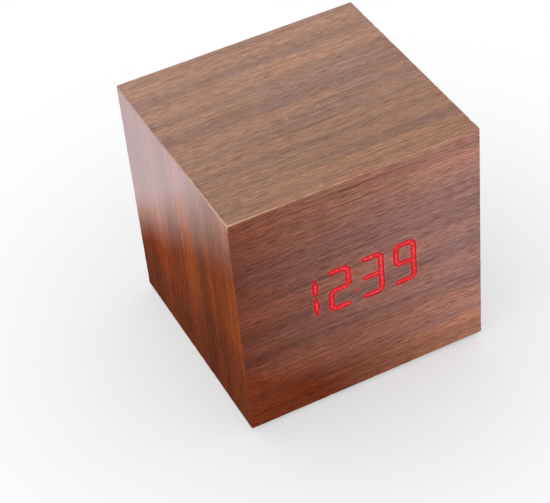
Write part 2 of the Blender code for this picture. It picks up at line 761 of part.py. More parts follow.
def make_rear_plate(module, finishes):
    """The recessed plate round the controls, with two posts that carry the main board."""
    deep = rear_depths()
    outline = rounded_outline(PLATE_LENGTH / 2, PLATE_HEIGHT / 2, PLATE_HEIGHT / 4)
    span = (deep["plate inner"], deep["plate"])
    plate = prism("rear_control_plate", outline, span, "Y", module, finishes["black"])
    bevel_edges(plate, PLATE_EDGE)
    holes = bmesh.new()
    low, high = deep["plate inner"] - OVERRUN, deep["plate"] + OVERRUN
    for _, x in button_places():
        prism_form(disc_outline((x, 0), BUTTON_CAP_RADIUS + CLEARANCE, ROUND_SIDES), low, high, "Y", holes)
    bore = disc_outline((SOCKET_SHIFT, 0), SOCKET_BORE_RADIUS + CLEARANCE, ROUND_SIDES)
    prism_form(bore, low, high, "Y", holes)
    prism_form(disc_outline((MICROPHONE_SHIFT, 0), MICROPHONE_HOLE_RADIUS), low, high, "Y", holes)
    posts = []
    pilots = []
    for side, x in post_places():
        start, end = deep["plate inner"] + OVERLAP, deep["board"] + CLEARANCE
        posts.append(rod(f"plate post {side}", (x, start, 0), (x, end, 0), POST_RADIUS, module))
        start, end = deep["board"] - OVERRUN, deep["board"] + SCREW_BITE + 2 * CLEARANCE
        radius = SCREW_RADIUS + SLOT_CLEARANCE
        pilots.append(rod(f"post pilot {side}", (x, start, 0), (x, end, 0), radius, module, None, SMALL_SIDES))
    join(plate, *posts)
    return cut(plate, add_object("plate holes", holes, (0, 0, 0), module), *pilots)


def make_rear_windows(module, sheet, board):
    """Cuts the stepped opening that the plate lies in through the back veneer and panel."""
    deep = rear_depths()
    half_x, half_z = PLATE_LENGTH / 2 + CLEARANCE, PLATE_HEIGHT / 2 + CLEARANCE
    corner = PLATE_HEIGHT / 4 + CLEARANCE
    rebate = rounded_outline(half_x, half_z, corner)
    prism_span = (deep["plate inner"] - GLUE_GAP, OVERRUN)
    cut(sheet, prism("veneer plate window", rebate, (-CASE_WALL, OVERRUN), "Y", module))
    window = rounded_outline(half_x - PLATE_LEDGE, half_z - PLATE_LEDGE, corner - PLATE_LEDGE)
    cut(
        board,
        prism("plate rebate", rebate, prism_span, "Y", module),
        prism("control window", window, (-CASE_WALL - OVERRUN, OVERRUN), "Y", module),
    )


def make_buttons(module, finishes):
    """Each button is a cap, a collar behind the plate and a stem in its switch's bore."""
    deep = rear_depths()
    switch_top = deep["mounted"] + SWITCH_HEIGHT
    stem_end = deep["mounted"] + SWITCH_FLOOR + BUTTON_TRAVEL + CLEARANCE
    collar_top = deep["plate inner"] - CLEARANCE
    cap_top = -BUTTON_STANDOFF
    heights = [depth - stem_end for depth in (collar_top - BUTTON_COLLAR_THICKNESS, collar_top, cap_top)]
    profile = (
        (0, 0),
        (BUTTON_STEM_RADIUS, 0),
        (BUTTON_STEM_RADIUS, heights[0]),
        (BUTTON_COLLAR_RADIUS, heights[0]),
        (BUTTON_COLLAR_RADIUS, heights[1]),
        (BUTTON_CAP_RADIUS, heights[1]),
        (BUTTON_CAP_RADIUS, heights[2] - BUTTON_CAP_CROWN),
        (BUTTON_CAP_RADIUS - BUTTON_CAP_CROWN, heights[2]),
        (0, heights[2]),
    )
    for name, x in button_places():
        turned(f"{name}_button", profile, (x, stem_end, 0), (0, 1, 0), module, finishes["black"])
        half = SWITCH_SIZE / 2
        body = box(
            f"{name}_switch",
            (x - half, x + half),
            (deep["mounted"], switch_top),
            (-half, half),
            module,
            finishes["chip"],
        )
        start, end = deep["mounted"] + SWITCH_FLOOR, switch_top + OVERRUN
        cut(body, rod(f"{name} switch bore", (x, start, 0), (x, end, 0), BUTTON_STEM_RADIUS + CLEARANCE, module))


def make_socket(module, finishes):
    """The direct-current socket: a block with a blind bore and a centre pin."""
    deep = rear_depths()
    mouth = deep["plate inner"] - CLEARANCE
    body = box(
        "dc_socket",
        about(SOCKET_SHIFT, SOCKET_WIDTH),
        (deep["mounted"], mouth),
        about(0, SOCKET_HEIGHT),
        module,
        finishes["black"],
    )
    floor = mouth - SOCKET_BORE_DEPTH
    middle = (SOCKET_SHIFT, floor, 0)
    bore = rod("socket bore", middle, (SOCKET_SHIFT, mouth + OVERRUN, 0), SOCKET_BORE_RADIUS, module)
    pin_start, pin_end = (SOCKET_SHIFT, floor - OVERLAP, 0), (SOCKET_SHIFT, floor + SOCKET_PIN_LENGTH, 0)
    pin = rod("socket pin", pin_start, pin_end, SOCKET_PIN_RADIUS, module, None, SMALL_SIDES)
    cut(body, bore)
    return join(body, pin)


def make_microphone(module, finishes):
    deep = rear_depths()
    start = (MICROPHONE_SHIFT, deep["mounted"], 0)
    end = (MICROPHONE_SHIFT, deep["mounted"] + MICROPHONE_HEIGHT, 0)
    return rod("microphone", start, end, MICROPHONE_RADIUS, module, finishes["steel"])


def make_main_board(module, finishes):
    """The circuit board with the headers of the ribbon and of the battery leads."""
    deep = rear_depths()
    half_x, half_z = board_half_size()
    span = (deep["board front"], deep["board"])
    board = box("main_board", (-half_x, half_x), span, (-half_z, half_z), module, finishes["circuit"])
    header_y = (deep["board front"] - HEADER_HEIGHT, deep["board front"] + OVERLAP)
    x, z = place_on_board(HEADER_PLACE_SHARES)
    ribbon = box("ribbon header", about(x, HEADER_LENGTH), header_y, about(z, HEADER_WIDTH), module)
    x, z = place_on_board(BATTERY_HEADER_PLACE_SHARES)
    header_x, header_z = about(x, BATTERY_HEADER_LENGTH), about(z, BATTERY_HEADER_WIDTH)
    power = box("battery header", header_x, header_y, header_z, module)
    join(board, ribbon, power)
    bores = []
    for side, x in post_places():
        start, end = deep["board front"] - OVERRUN, deep["board"] + OVERRUN
        radius = SCREW_RADIUS + CLEARANCE
        bores.append(rod(f"main bore {side}", (x, start, 0), (x, end, 0), radius, module, None, SMALL_SIDES))
        head = deep["board front"] - CLEARANCE - SCREW_HEAD_HEIGHT
        label = "left" if side < 0 else "right"
        screw(f"board_screw_{label}", (x, head, 0), (x, deep["board"] + SCREW_BITE, 0), module, finishes)
    return cut(board, *bores)


def make_chip(module, finishes):
    """The microcontroller, with a row of legs along each long side."""
    face = rear_depths()["board front"] - GLUE_GAP
    half_x, half_z = board_half_size()
    x, z = CHIP_ALONG_SHARE * half_x, CHIP_EDGE_ROOM + CHIP_SPAN / 2 - half_z
    chip = box(
        "microcontroller",
        about(x, CHIP_LENGTH),
        (face - CHIP_HEIGHT, face),
        about(z, CHIP_WIDTH),
        module,
        finishes["chip"],
    )
    legs = bmesh.new()
    pitch = CHIP_LENGTH / CHIP_LEGS_EACH_SIDE
    for place in range(CHIP_LEGS_EACH_SIDE):
        leg_x = about(x + (place - (CHIP_LEGS_EACH_SIDE - 1) / 2) * pitch, CHIP_LEG_WIDTH)
        for side in (-1, 1):
            near, far = side * (CHIP_WIDTH / 2 - OVERLAP), side * (CHIP_WIDTH / 2 + CHIP_LEG_REACH)
            leg_z = sorted((z + near, z + far))
            box_form(leg_x, (face - CHIP_LEG_HEIGHT, face), leg_z, legs)
    return join(chip, add_object("chip legs", legs, (0, 0, 0), module))


def make_crystal(module, finishes):
    face = rear_depths()["board front"] - GLUE_GAP
    x, z = place_on_board(CRYSTAL_PLACE_SHARES)
    radius = CRYSTAL_WIDTH / 2 - GLUE_GAP
    outline = rounded_outline(CRYSTAL_LENGTH / 2, CRYSTAL_WIDTH / 2, radius)
    outline = [(x + u, z + v) for u, v in outline]
    can = prism("clock_crystal", outline, (face - CRYSTAL_HEIGHT, face), "Y", module, finishes["steel"])
    return shade_round(can)


def make_round_components(module, finishes):
    """Buzzer, capacitor and temperature sensor, all standing on the inner side of the main board."""
    face = rear_depths()["board front"] - GLUE_GAP
    inwards = (0, -1, 0)
    x, z = place_on_board(BUZZER_PLACE_SHARES)
    profile = (
        (0, 0),
        (BUZZER_RADIUS, 0),
        (BUZZER_RADIUS, BUZZER_HEIGHT),
        (BUZZER_HOLE_RADIUS, BUZZER_HEIGHT),
        (BUZZER_HOLE_RADIUS, BUZZER_HEIGHT - BUZZER_HOLE_DEPTH),
        (0, BUZZER_HEIGHT - BUZZER_HOLE_DEPTH),
    )
    turned("buzzer", profile, (x, face, z), inwards, module, finishes["black"])
    x, z = place_on_board(CAPACITOR_PLACE_SHARES)
    neck = CAPACITOR_RADIUS - CAPACITOR_GROOVE
    profile = (
        (0, 0),
        (CAPACITOR_RADIUS, 0),
        (CAPACITOR_RADIUS, 2 * CAPACITOR_GROOVE),
        (neck, 3 * CAPACITOR_GROOVE),
        (CAPACITOR_RADIUS, 4 * CAPACITOR_GROOVE),
        (CAPACITOR_RADIUS, CAPACITOR_HEIGHT - CAPACITOR_GROOVE),
        (neck, CAPACITOR_HEIGHT),
        (0, CAPACITOR_HEIGHT),
    )
    turned("capacitor", profile, (x, face, z), inwards, module, finishes["sleeve"])
    x, z = place_on_board(SENSOR_PLACE_SHARES)
    bottom, top = LEAD_LENGTH, LEAD_LENGTH + SENSOR_LENGTH
    profile = (
        (0, bottom),
        (SENSOR_RADIUS / 2, bottom),
        (SENSOR_RADIUS, bottom + SENSOR_RADIUS / 2),
        (SENSOR_RADIUS, top - SENSOR_RADIUS / 2),
        (SENSOR_RADIUS / 2, top),
        (0, top),
    )
    place = (x, face, z)
    bead = turned("temperature_sensor", profile, place, inwards, module, finishes["sensor"], SMALL_SIDES)
    leads = [
        rod(
            f"sensor lead {side}",
            (x + side * LEAD_SPACING / 2, face, z),
            (x + side * LEAD_SPACING / 2, face - bottom - SENSOR_RADIUS, z),
            LEAD_RADIUS,
            module,
            None,
            SMALL_SIDES,
        )
        for side in (-1, 1)
    ]
    return join(bead, *leads)


def make_backup_cell(module, finishes):
    """The coin cell in its open-topped clip."""
    face = rear_depths()["board front"] - GLUE_GAP
    half_x, half_z = board_half_size()
    x, z = CLIP_ALONG_SHARE * half_x, half_z + CLIP_OVERHANG - CLIP_RADIUS
    floor = face - CLIP_FLOOR
    clip = rod("backup_cell_clip", (x, face, z), (x, face - CLIP_REACH, z), CLIP_RADIUS, module, finishes["black"])
    pocket = rod("clip pocket", (x, floor, z), (x, face - CLIP_REACH - OVERRUN, z), CLIP_RADIUS - CLIP_WALL, module)
    gap_y = (face - CLIP_REACH - OVERRUN, floor)
    gap = box("clip gap", about(x, COIN_RADIUS), gap_y, (z, z + CLIP_RADIUS + OVERRUN), module)
    cut(clip, pocket, gap)
    start = floor - GLUE_GAP
    end = (x, start - COIN_THICKNESS, z)
    rod("backup_cell", (x, start, z), end, COIN_RADIUS, module, finishes["steel"])


def cell_pitch():
    return 2 * CELL_RADIUS + CELL_SPACING


def bay_half_size():
    """Half the length and half the depth of the space that the cells lie in."""
    return BAY_LENGTH / 2, BAY_DEPTH / 2


def flange_half_size():
    half_x, half_y = bay_half_size()
    return half_x + FLANGE_END_RIM, half_y + FLANGE_SIDE_RIM


def tray_heights():
    """Heights above the underside of the case."""
    door = DOOR_INSET + DOOR_THICKNESS
    cell = door + CLEARANCE + CELL_RADIUS
    roof = cell + CELL_RADIUS + CLEARANCE
    return {"door": door, "cell": cell, "roof": roof, "top": roof + TRAY_WALL}


def cell_places():
    """Each cell's number, its Y and the side (-1 left, 1 right) that its positive nub points to."""
    middle = (CELL_COUNT - 1) / 2
    return [(place + 1, (place - middle) * cell_pitch(), 1 - 2 * (place % 2)) for place in range(CELL_COUNT)]


def make_cells(module, finishes):
    high = tray_heights()["cell"]
    can = CELL_LENGTH - NUB_LENGTH
    profile = (
        (0, 0),
        (CELL_RADIUS - CELL_EDGE, 0),
        (CELL_RADIUS, CELL_EDGE),
        (CELL_RADIUS, can - CELL_CAN_SHOULDER),
        (CELL_RADIUS - CELL_CAN_SHOULDER, can),
        (NUB_RADIUS, can),
        (NUB_RADIUS, CELL_LENGTH),
        (0, CELL_LENGTH),
    )
    half_x, _ = bay_half_size()
    nub_end = half_x - GLUE_GAP - CONTACT_THICKNESS - CLEARANCE
    for number, y, side in cell_places():
        place = (side * (nub_end - CELL_LENGTH), y, high)
        turned(f"battery_{number}", profile, place, (side, 0, 0), module, finishes["cell"])


def spring_form(side):
    """A conical coil spring whose wide end lies on its contact, winding towards the cell."""
    form = bmesh.new()
    wire, sides, turn_steps = SPRING_WIRE_RADIUS, 6, 10
    steps = SPRING_TURNS * turn_steps
    start, end = wire - OVERLAP, SPRING_LENGTH - wire
    rings = []
    for step in range(steps + 1):
        share = step / steps
        angle = share * SPRING_TURNS * math.tau
        radius = SPRING_WIDE_RADIUS + share * (SPRING_TIP_RADIUS - SPRING_WIDE_RADIUS)
        outward = Vector((0, math.cos(angle), math.sin(angle)))
        along = Vector((-side, 0, 0))
        centre = along * (start + share * (end - start)) + outward * radius
        turns = [math.tau * corner / sides for corner in range(sides)]
        ring = [centre + wire * (math.cos(turn) * outward + math.sin(turn) * along) for turn in turns]
        rings.append([form.verts.new(point) for point in ring])
    for ring, following in zip(rings, rings[1:]):
        for corner in range(sides):
            beyond = (corner + 1) % sides
            form.faces.new((ring[corner], ring[beyond], following[beyond], following[corner]))
    form.faces.new(rings[0])
    form.faces.new(rings[-1])
    return form


def make_contact(name, side, places, sprung, has_tab, module, finishes):
    """A contact plate at the left (side -1) or right end of the bay, for the cells at these Y places."""
    half_x, _ = bay_half_size()
    heights = tray_heights()
    outer = side * (half_x - GLUE_GAP)
    inner = side * (half_x - GLUE_GAP - CONTACT_THICKNESS)
    x = sorted((outer, inner))
    y = (min(places) - CONTACT_SIZE / 2, max(places) + CONTACT_SIZE / 2)
    z = about(heights["cell"], CONTACT_SIZE)
    plate = box(name, x, y, z, module, finishes["steel"])
    if has_tab:
        tab_z = (heights["cell"], heights["top"] + CONTACT_TAB_RISE)
        join(plate, box(f"{name} tab", x, about(places[0], CONTACT_TAB_WIDTH), tab_z, module))
    if sprung is not None:
        place = (inner, sprung, heights["cell"])
        join(plate, shade_round(add_object(f"{name} spring", spring_form(side), place, module)))
    return plate


def make_contacts(module, finishes):
    """The cells run in series from the negative contact at front left to the positive at back right."""
    first, second, third = [y for _, y, _ in cell_places()]
    make_contact("negative_contact", -1, (first,), first, True, module, finishes)
    make_contact("bridge_contact_right", 1, (first, second), second, False, module, finishes)
    make_contact("bridge_contact_left", -1, (second, third), third, False, module, finishes)
    make_contact("positive_contact", 1, (third,), None, True, module, finishes)


def hinge_place():
    """The Y and Z of the door's hinge axis."""
    _, half_y = bay_half_size()
    return half_y - CLEARANCE - DOOR_THICKNESS / 2, DOOR_INSET + DOOR_THICKNESS / 2


def tray_screw_places():
    _, half_y = bay_half_size()
    _, flange_y = flange_half_size()
    return [(side, side * (half_y + TRAY_WALL + flange_y) / 2) for side in (-1, 1)]


def make_tray(module, finishes):
    """The cell bay with its flange, ribs between the cells and slots for the contact tabs."""
    half_x, half_y = bay_half_size()
    heights = tray_heights()
    tub_x, tub_y = grown((-half_x, half_x), TRAY_WALL), grown((-half_y, half_y), TRAY_WALL)
    tray = box("battery_tray", tub_x, tub_y, (0, heights["top"]), module, finishes["black"])
    outline = rounded_outline(*flange_half_size(), FLANGE_CORNER)
    join(tray, prism("tray flange", outline, (0, FLANGE_THICKNESS), "Z", module))
    cut(tray, box("tray bay", (-half_x, half_x), (-half_y, half_y), (-OVERRUN, heights["roof"]), module))
    rib_half = half_x - 2 * CELL_RADIUS
    rib_z = (heights["roof"] - TRAY_RIB_DEPTH, heights["roof"] + OVERLAP)
    for place in range(CELL_COUNT - 1):
        rib_y = about((place - (CELL_COUNT - 2) / 2) * cell_pitch(), TRAY_RIB_THICKNESS)
        join(tray, box(f"tray rib {place}", (-rib_half, rib_half), rib_y, rib_z, module))
    slot_z = (heights["roof"] - OVERRUN, heights["top"] + OVERRUN)
    slot_y = CONTACT_TAB_WIDTH + 2 * CLEARANCE
    inner = half_x - GLUE_GAP - CONTACT_THICKNESS - CLEARANCE
    for side, y in ((-1, cell_places()[0][1]), (1, cell_places()[-1][1])):
        slot_x = sorted((side * inner, side * (half_x + CLEARANCE)))
        cut(tray, box(f"tab slot {side}", slot_x, about(y, slot_y), slot_z, module))
    hinge_y, hinge_z = hinge_place()
    reach = half_x - CLEARANCE + DOOR_PIN_LENGTH + CLEARANCE
    ends = ((-reach, hinge_y, hinge_z), (reach, hinge_y, hinge_z))
    radius = DOOR_PIN_RADIUS + SLOT_CLEARANCE
    cut(tray, rod("tray hinge bore", *ends, radius, module, None, SMALL_SIDES))
    notch_z = NAIL_NOTCH_DEPTH - NAIL_NOTCH_RADIUS
    ends = ((0, -half_y - TRAY_WALL, notch_z), (0, -half_y + OVERRUN, notch_z))
    cut(tray, rod("nail notch", *ends, NAIL_NOTCH_RADIUS, module))
    for side, y in tray_screw_places():
        cut(tray, tray_screw_hole(f"flange hole {side}", y, FLANGE_THICKNESS + OVERRUN, module))
    return tray


def tray_screw_hole(name, y, top, module):
    """A countersunk screw hole from the underside up to a height."""
    radius, head = SCREW_RADIUS + CLEARANCE, SCREW_HEAD_RADIUS + CLEARANCE
    profile = ((0, -OVERRUN), (head, -OVERRUN), (head, GLUE_GAP), (radius, head - radius + GLUE_GAP))
    profile += ((radius, top), (0, top))
    return turned(name, profile, (0, y, 0), (0, 0, 1), module, None, SMALL_SIDES)


def make_tray_screws(module, finishes):
    """Countersunk screws through the flange into the bottom panel."""
    top = FLANGE_THICKNESS + SCREW_BITE * 3 / 4
    cone = GLUE_GAP + SCREW_HEAD_RADIUS - SCREW_RADIUS
    profile = (
        (0, GLUE_GAP + SCREW_RECESS_DEPTH),
        (SCREW_RECESS_RADIUS, GLUE_GAP + SCREW_RECESS_DEPTH),
        (SCREW_RECESS_RADIUS, GLUE_GAP),
        (SCREW_HEAD_RADIUS, GLUE_GAP),
        (SCREW_RADIUS, GLUE_GAP + cone),
        (SCREW_RADIUS, top - SCREW_RADIUS),
        (SCREW_RADIUS / 2, top),
        (0, top),
    )
    for side, y in tray_screw_places():
        label = "front" if side < 0 else "back"
        up = (0, 0, 1)
        turned(f"tray_screw_{label}", profile, (0, y, 0), up, module, finishes["steel"], SMALL_SIDES)


def make_base_windows(module, sheet, board):
    """Cuts the flange's rebate, the bay's opening and the screws' pilots through the base."""
    half_x, half_y = bay_half_size()
    flange_x, flange_y = flange_half_size()
    outline = rounded_outline(flange_x + CLEARANCE, flange_y + CLEARANCE, FLANGE_CORNER + CLEARANCE)
    cut(sheet, prism("veneer flange window", outline, (-OVERRUN, CASE_WALL), "Z", module))
    margin = TRAY_WALL + CLEARANCE
    opening_z = (-OVERRUN, CASE_WALL + OVERRUN)
    opening_x, opening_y = grown((-half_x, half_x), margin), grown((-half_y, half_y), margin)
    rebate = prism("flange rebate", outline, (-OVERRUN, FLANGE_THICKNESS + GLUE_GAP), "Z", module)
    cut(board, rebate, box("bay opening", opening_x, opening_y, opening_z, module))
    for side, y in tray_screw_places():
        top = FLANGE_THICKNESS + SCREW_BITE * 3 / 4 + SLOT_CLEARANCE
        radius = SCREW_RADIUS + SLOT_CLEARANCE
        ends = ((0, y, FLANGE_THICKNESS), (0, y, top))
        cut(board, rod(f"base pilot {side}", *ends, radius, module, None, SMALL_SIDES))


def make_door(module, finishes):
    """The battery door, with its origin on its hinge axis and a round edge about that axis."""
    half_x, half_y = bay_half_size()
    hinge_y, hinge_z = hinge_place()
    half_x -= CLEARANCE
    radius = DOOR_THICKNESS / 2
    latch_y = -half_y + CLEARANCE - hinge_y
    edge = [(u, v) for u, v in arc((0, 0), radius, -1, 1, 8)]
    outline = [(latch_y, radius), (latch_y, -radius)] + edge
    form = prism_form(outline, -half_x, half_x, "X")
    door = add_object("battery_door", form, (0, hinge_y, hinge_z), module, finishes["black"])
    pins = []
    for side in (-1, 1):
        ends = ((side * (half_x - OVERLAP), 0, 0), (side * (half_x + DOOR_PIN_LENGTH), 0, 0))
        pins.append(rod(f"door pin {side}", *ends, DOOR_PIN_RADIUS, door, None, SMALL_SIDES))
    tongue_y = (latch_y + DOOR_INSET, latch_y + DOOR_INSET + DOOR_LATCH_THICKNESS)
    tongue_z = (radius - OVERLAP, radius + DOOR_LATCH_RISE)
    tongue = box("door tongue", about(0, DOOR_LATCH_WIDTH), tongue_y, tongue_z, door)
    grips = bmesh.new()
    grip_z = (-radius - DOOR_INSET / 2, -radius + OVERLAP)
    for place in range(DOOR_GRIP_COUNT):
        grip_y = about(latch_y + (place + 2) * DOOR_GRIP_SPACING, DOOR_GRIP_THICKNESS)
        box_form(about(0, DOOR_GRIP_WIDTH), grip_y, grip_z, grips)
    return join(door, *pins, tongue, add_object("door grips", grips, (0, 0, 0), door))


def smooth_route(points, steps=6):
    """Points along a Catmull-Rom curve through a route's own points."""
    points = [Vector(point) for point in points]
    padded = [2 * points[0] - points[1], *points, 2 * points[-1] - points[-2]]
    smooth = []
    for before, start, end, after in zip(padded, padded[1:], padded[2:], padded[3:]):
        for step in range(steps):
            t = step / steps
            bend = 2 * before - 5 * start + 4 * end - after
            twist = 3 * start - before - 3 * end + after
            smooth.append((2 * start + (end - before) * t + bend * t**2 + twist * t**3) / 2)
    return [*smooth, points[-1]]


def wire(name, route, material, case):
    """A round wire along a smooth route."""
    curve = bpy.data.curves.new(name, "CURVE")
    curve.dimensions = "3D"
    curve.bevel_depth = WIRE_RADIUS
    curve.bevel_resolution = 2
    curve.use_fill_caps = True
    points = smooth_route(route)
    spline = curve.splines.new("POLY")
    spline.points.add(len(points) - 1)
    for point, place in zip(spline.points, points):
        point.co = (*place, 1.0)
    curve.materials.append(material)
    obj = bpy.data.objects.new(name, curve)
    bpy.context.collection.objects.link(obj)
    obj.parent = case
    return obj


def make_battery_wires(case, finishes):
    """The two leads from the contact tabs to the header on the main board."""
    half_x, _ = bay_half_size()
    heights = tray_heights()
    tab_x = half_x - GLUE_GAP - CONTACT_THICKNESS / 2
    tab_top = -CASE_HEIGHT / 2 + heights["top"] + CONTACT_TAB_RISE
    start_z = tab_top + CLEARANCE
    board_y = CASE_DEPTH / 2 - BOARD_SETBACK - CIRCUIT_BOARD
    header_end = board_y - HEADER_HEIGHT - CLEARANCE
    share_x, share_z = place_on_board(BATTERY_HEADER_PLACE_SHARES)
    header_z = CONTROL_RISE - CASE_HEIGHT / 2 + share_z
    run_z = (start_z + header_z) / 2
    for name, side, place, material in (
        ("battery_lead_black", -1, cell_places()[0][1], finishes["black wire"]),
        ("battery_lead_red", 1, cell_places()[-1][1], finishes["red wire"]),
    ):
        header_x = share_x + side * WIRE_SPREAD / 2
        near = header_end - 2 * HEADER_HEIGHT
        route = (
            (side * tab_x, place, start_z),
            (side * tab_x, place, (start_z + run_z) / 2),
            (side * tab_x * 3 / 4, (place * 3 + near) / 4, run_z),
            ((side * tab_x + header_x) / 2, (place + near) / 2, run_z),
            (header_x + side * WIRE_SPREAD, near, (run_z + header_z) / 2),
            (header_x, header_end - HEADER_HEIGHT / 2, header_z),
            (header_x, header_end, header_z),
        )
        wire(name, route, material, case)


def make_ribbon(case, finishes):
    """The flat cable between the two boards, with a plug on each end."""
    display_y = -CASE_DEPTH / 2 + display_depths()["board back"] + HEADER_HEIGHT + CLEARANCE
    display_z = DISPLAY_RISE + DISPLAY_HEADER_RISE - CASE_HEIGHT / 2
    main_y = CASE_DEPTH / 2 + rear_depths()["board front"] - HEADER_HEIGHT - CLEARANCE
    main_z = CONTROL_RISE - CASE_HEIGHT / 2 + place_on_board(HEADER_PLACE_SHARES)[1]
    start = Vector((display_y + PLUG_HEIGHT - OVERLAP, display_z))
    end = Vector((main_y - PLUG_HEIGHT + OVERLAP, main_z))
    reach = Vector(((end.x - start.x) / 2, 0))
    centre = []
    for step in range(RIBBON_STEPS + 1):
        t = step / RIBBON_STEPS
        weights = ((1 - t) ** 3, 3 * t * (1 - t) ** 2, 3 * t**2 * (1 - t), t**3)
        knots = (start, start + reach, end - reach, end)
        centre.append(sum((weight * knot for weight, knot in zip(weights, knots)), Vector((0, 0))))
    ends = [centre[0], *centre, centre[-1]]
    sides = []
    for before, point, after in zip(ends, centre, ends[2:]):
        along = (after - before).normalized()
        sides.append((point, Vector((-along.y, along.x)) * RIBBON_THICKNESS / 2))
    outline = [point + offset for point, offset in sides]
    outline += [point - offset for point, offset in reversed(sides)]
    middle = ribbon_middle()
    low, high = about(middle, RIBBON_WIDTH)
    form = prism_form(outline, low, high, "X")
    ribbon = add_object("ribbon_cable", form, (0, 0, 0), case, finishes["ribbon"])
    plug_x = about(middle, HEADER_LENGTH - PLUG_MARGIN)
    plug_size = HEADER_WIDTH - PLUG_MARGIN
    near = (display_y, display_y + PLUG_HEIGHT)
    far = (main_y - PLUG_HEIGHT, main_y)
    return join(
        ribbon,
        box("display plug", plug_x, near, about(display_z, plug_size), case),
        box("main plug", plug_x, far, about(main_z, plug_size), case),
    )


def build_clock():
    clear_scene()
    finishes = make_finishes()
    case = group("case", (0, 0, FOOT_HEIGHT + CASE_HEIGHT / 2))
    base_sheet = wrap_veneers(case, finishes)
    front_sheet = face_veneer("front_veneer", -1, case, finishes)
    back_sheet = face_veneer("back_veneer", 1, case, finishes)
    base_board = wrap_boards(case, finishes)
    front_board = face_board("front_panel", -1, case, finishes)
    back_board = face_board("back_panel", 1, case, finishes)
    make_feet(case, finishes, flange_half_size()[1])

    display = group("display_module", (DISPLAY_SHIFT, -CASE_DEPTH / 2, DISPLAY_RISE - CASE_HEIGHT / 2), case)
    make_front_windows(display, front_sheet, front_board)
    make_display_housing(display, finishes)
    make_light_guides(display, finishes)
    make_display_board(display, finishes)

    rear = group("control_module", (0, CASE_DEPTH / 2, CONTROL_RISE - CASE_HEIGHT / 2), case)
    make_rear_windows(rear, back_sheet, back_board)
    make_rear_plate(rear, finishes)
    make_buttons(rear, finishes)
    make_socket(rear, finishes)
    make_microphone(rear, finishes)
    make_main_board(rear, finishes)
    make_chip(rear, finishes)
    make_crystal(rear, finishes)
    make_round_components(rear, finishes)
    make_backup_cell(rear, finishes)

    base = group("battery_module", (0, 0, -CASE_HEIGHT / 2), case)
    make_base_windows(base, base_sheet, base_board)
    make_tray(base, finishes)
    make_door(base, finishes)
    make_cells(base, finishes)
    make_contacts(base, finishes)
    make_tray_screws(base, finishes)
    make_battery_wires(case, finishes)
    make_ribbon(case, finishes)


build_clock()
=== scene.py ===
"""The looks of a wooden digital alarm clock: a veneered cube whose digits shine through its front."""

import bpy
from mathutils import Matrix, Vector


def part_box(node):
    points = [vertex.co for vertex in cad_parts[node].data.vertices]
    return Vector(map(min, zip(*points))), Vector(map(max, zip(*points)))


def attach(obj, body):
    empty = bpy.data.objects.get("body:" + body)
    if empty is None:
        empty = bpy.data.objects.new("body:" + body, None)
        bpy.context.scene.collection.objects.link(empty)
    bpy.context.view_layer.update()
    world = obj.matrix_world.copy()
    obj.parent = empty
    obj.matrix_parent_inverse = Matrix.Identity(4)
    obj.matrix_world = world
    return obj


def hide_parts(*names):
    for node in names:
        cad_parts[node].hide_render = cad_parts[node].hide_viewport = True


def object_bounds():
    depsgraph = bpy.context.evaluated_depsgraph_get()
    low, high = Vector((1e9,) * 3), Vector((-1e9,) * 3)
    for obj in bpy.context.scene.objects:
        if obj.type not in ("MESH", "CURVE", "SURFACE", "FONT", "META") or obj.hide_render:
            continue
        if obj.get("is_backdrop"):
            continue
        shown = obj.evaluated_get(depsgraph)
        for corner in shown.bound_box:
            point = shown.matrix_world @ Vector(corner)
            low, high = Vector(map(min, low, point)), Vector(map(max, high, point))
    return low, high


bl_info = {
    "name": "Wooden Digital Clock",
    "version": (1, 0, 0),
    "blender": (4, 5, 0),
    "location": "3D View > Sidebar > Clock",
    "description": "Dresses the packed clock in veneer, plastic, rubber and metal, and lights it",
    "category": "Object",
}

import math

import bmesh
import bpy
from bpy.props import FloatProperty, FloatVectorProperty, PointerProperty
from mathutils import Matrix, Vector, noise

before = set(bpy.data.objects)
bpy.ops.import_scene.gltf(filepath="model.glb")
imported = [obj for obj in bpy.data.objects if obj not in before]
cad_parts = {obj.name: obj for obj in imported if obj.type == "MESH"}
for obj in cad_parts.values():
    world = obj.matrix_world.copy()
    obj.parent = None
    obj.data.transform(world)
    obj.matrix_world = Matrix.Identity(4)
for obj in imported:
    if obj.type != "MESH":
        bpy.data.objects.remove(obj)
CAD_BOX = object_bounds()
MM = 0.001

BODY = "clock_case"
SHEETS = {
    # node: (outward axis, which way, axis along the grain, place of its grain in the log, colour set)
    "top_veneer": (2, 1, 0, 3.0, "top"),
    "bottom_veneer": (2, -1, 0, 11.0, "side"),
    "left_veneer": (0, -1, 2, 23.0, "left"),
    "right_veneer": (0, 1, 2, 31.0, "side"),
    "front_veneer": (1, -1, 0, 47.0, "front"),
    "back_veneer": (1, 1, 0, 59.0, "side"),
}
DIGITS = {
    "hour_tens_light": "bc",
    "hour_units_light": "abged",
    "minute_tens_light": "abgcd",
    "minute_units_light": "abcdfg",
}
# Ends of each segment as shares of half the digit's width and height
SEGMENT_SHARES = {
    "a": ((-1, 1), (1, 1)),
    "b": ((1, 0), (1, 1)),
    "c": ((1, -1), (1, 0)),
    "d": ((-1, -1), (1, -1)),
    "e": ((-1, -1), (-1, 0)),
    "f": ((-1, 0), (-1, 1)),
    "g": ((-1, 0), (1, 0)),
}


def paint(red, green, blue):
    """A screen colour from 0 to 255 as the linear values that a shader takes."""
    shares = (value / 255 for value in (red, green, blue))
    return tuple(s / 12.92 if s < 0.04 else ((s + 0.055) / 1.055) ** 2.4 for s in shares)


def darker(colour, share):
    return tuple(value * share for value in colour)


def shade(name, description, *screen):
    kind = {"subtype": "COLOR", "min": 0, "max": 1}
    return FloatVectorProperty(name=name, description=description, default=paint(*screen), **kind)


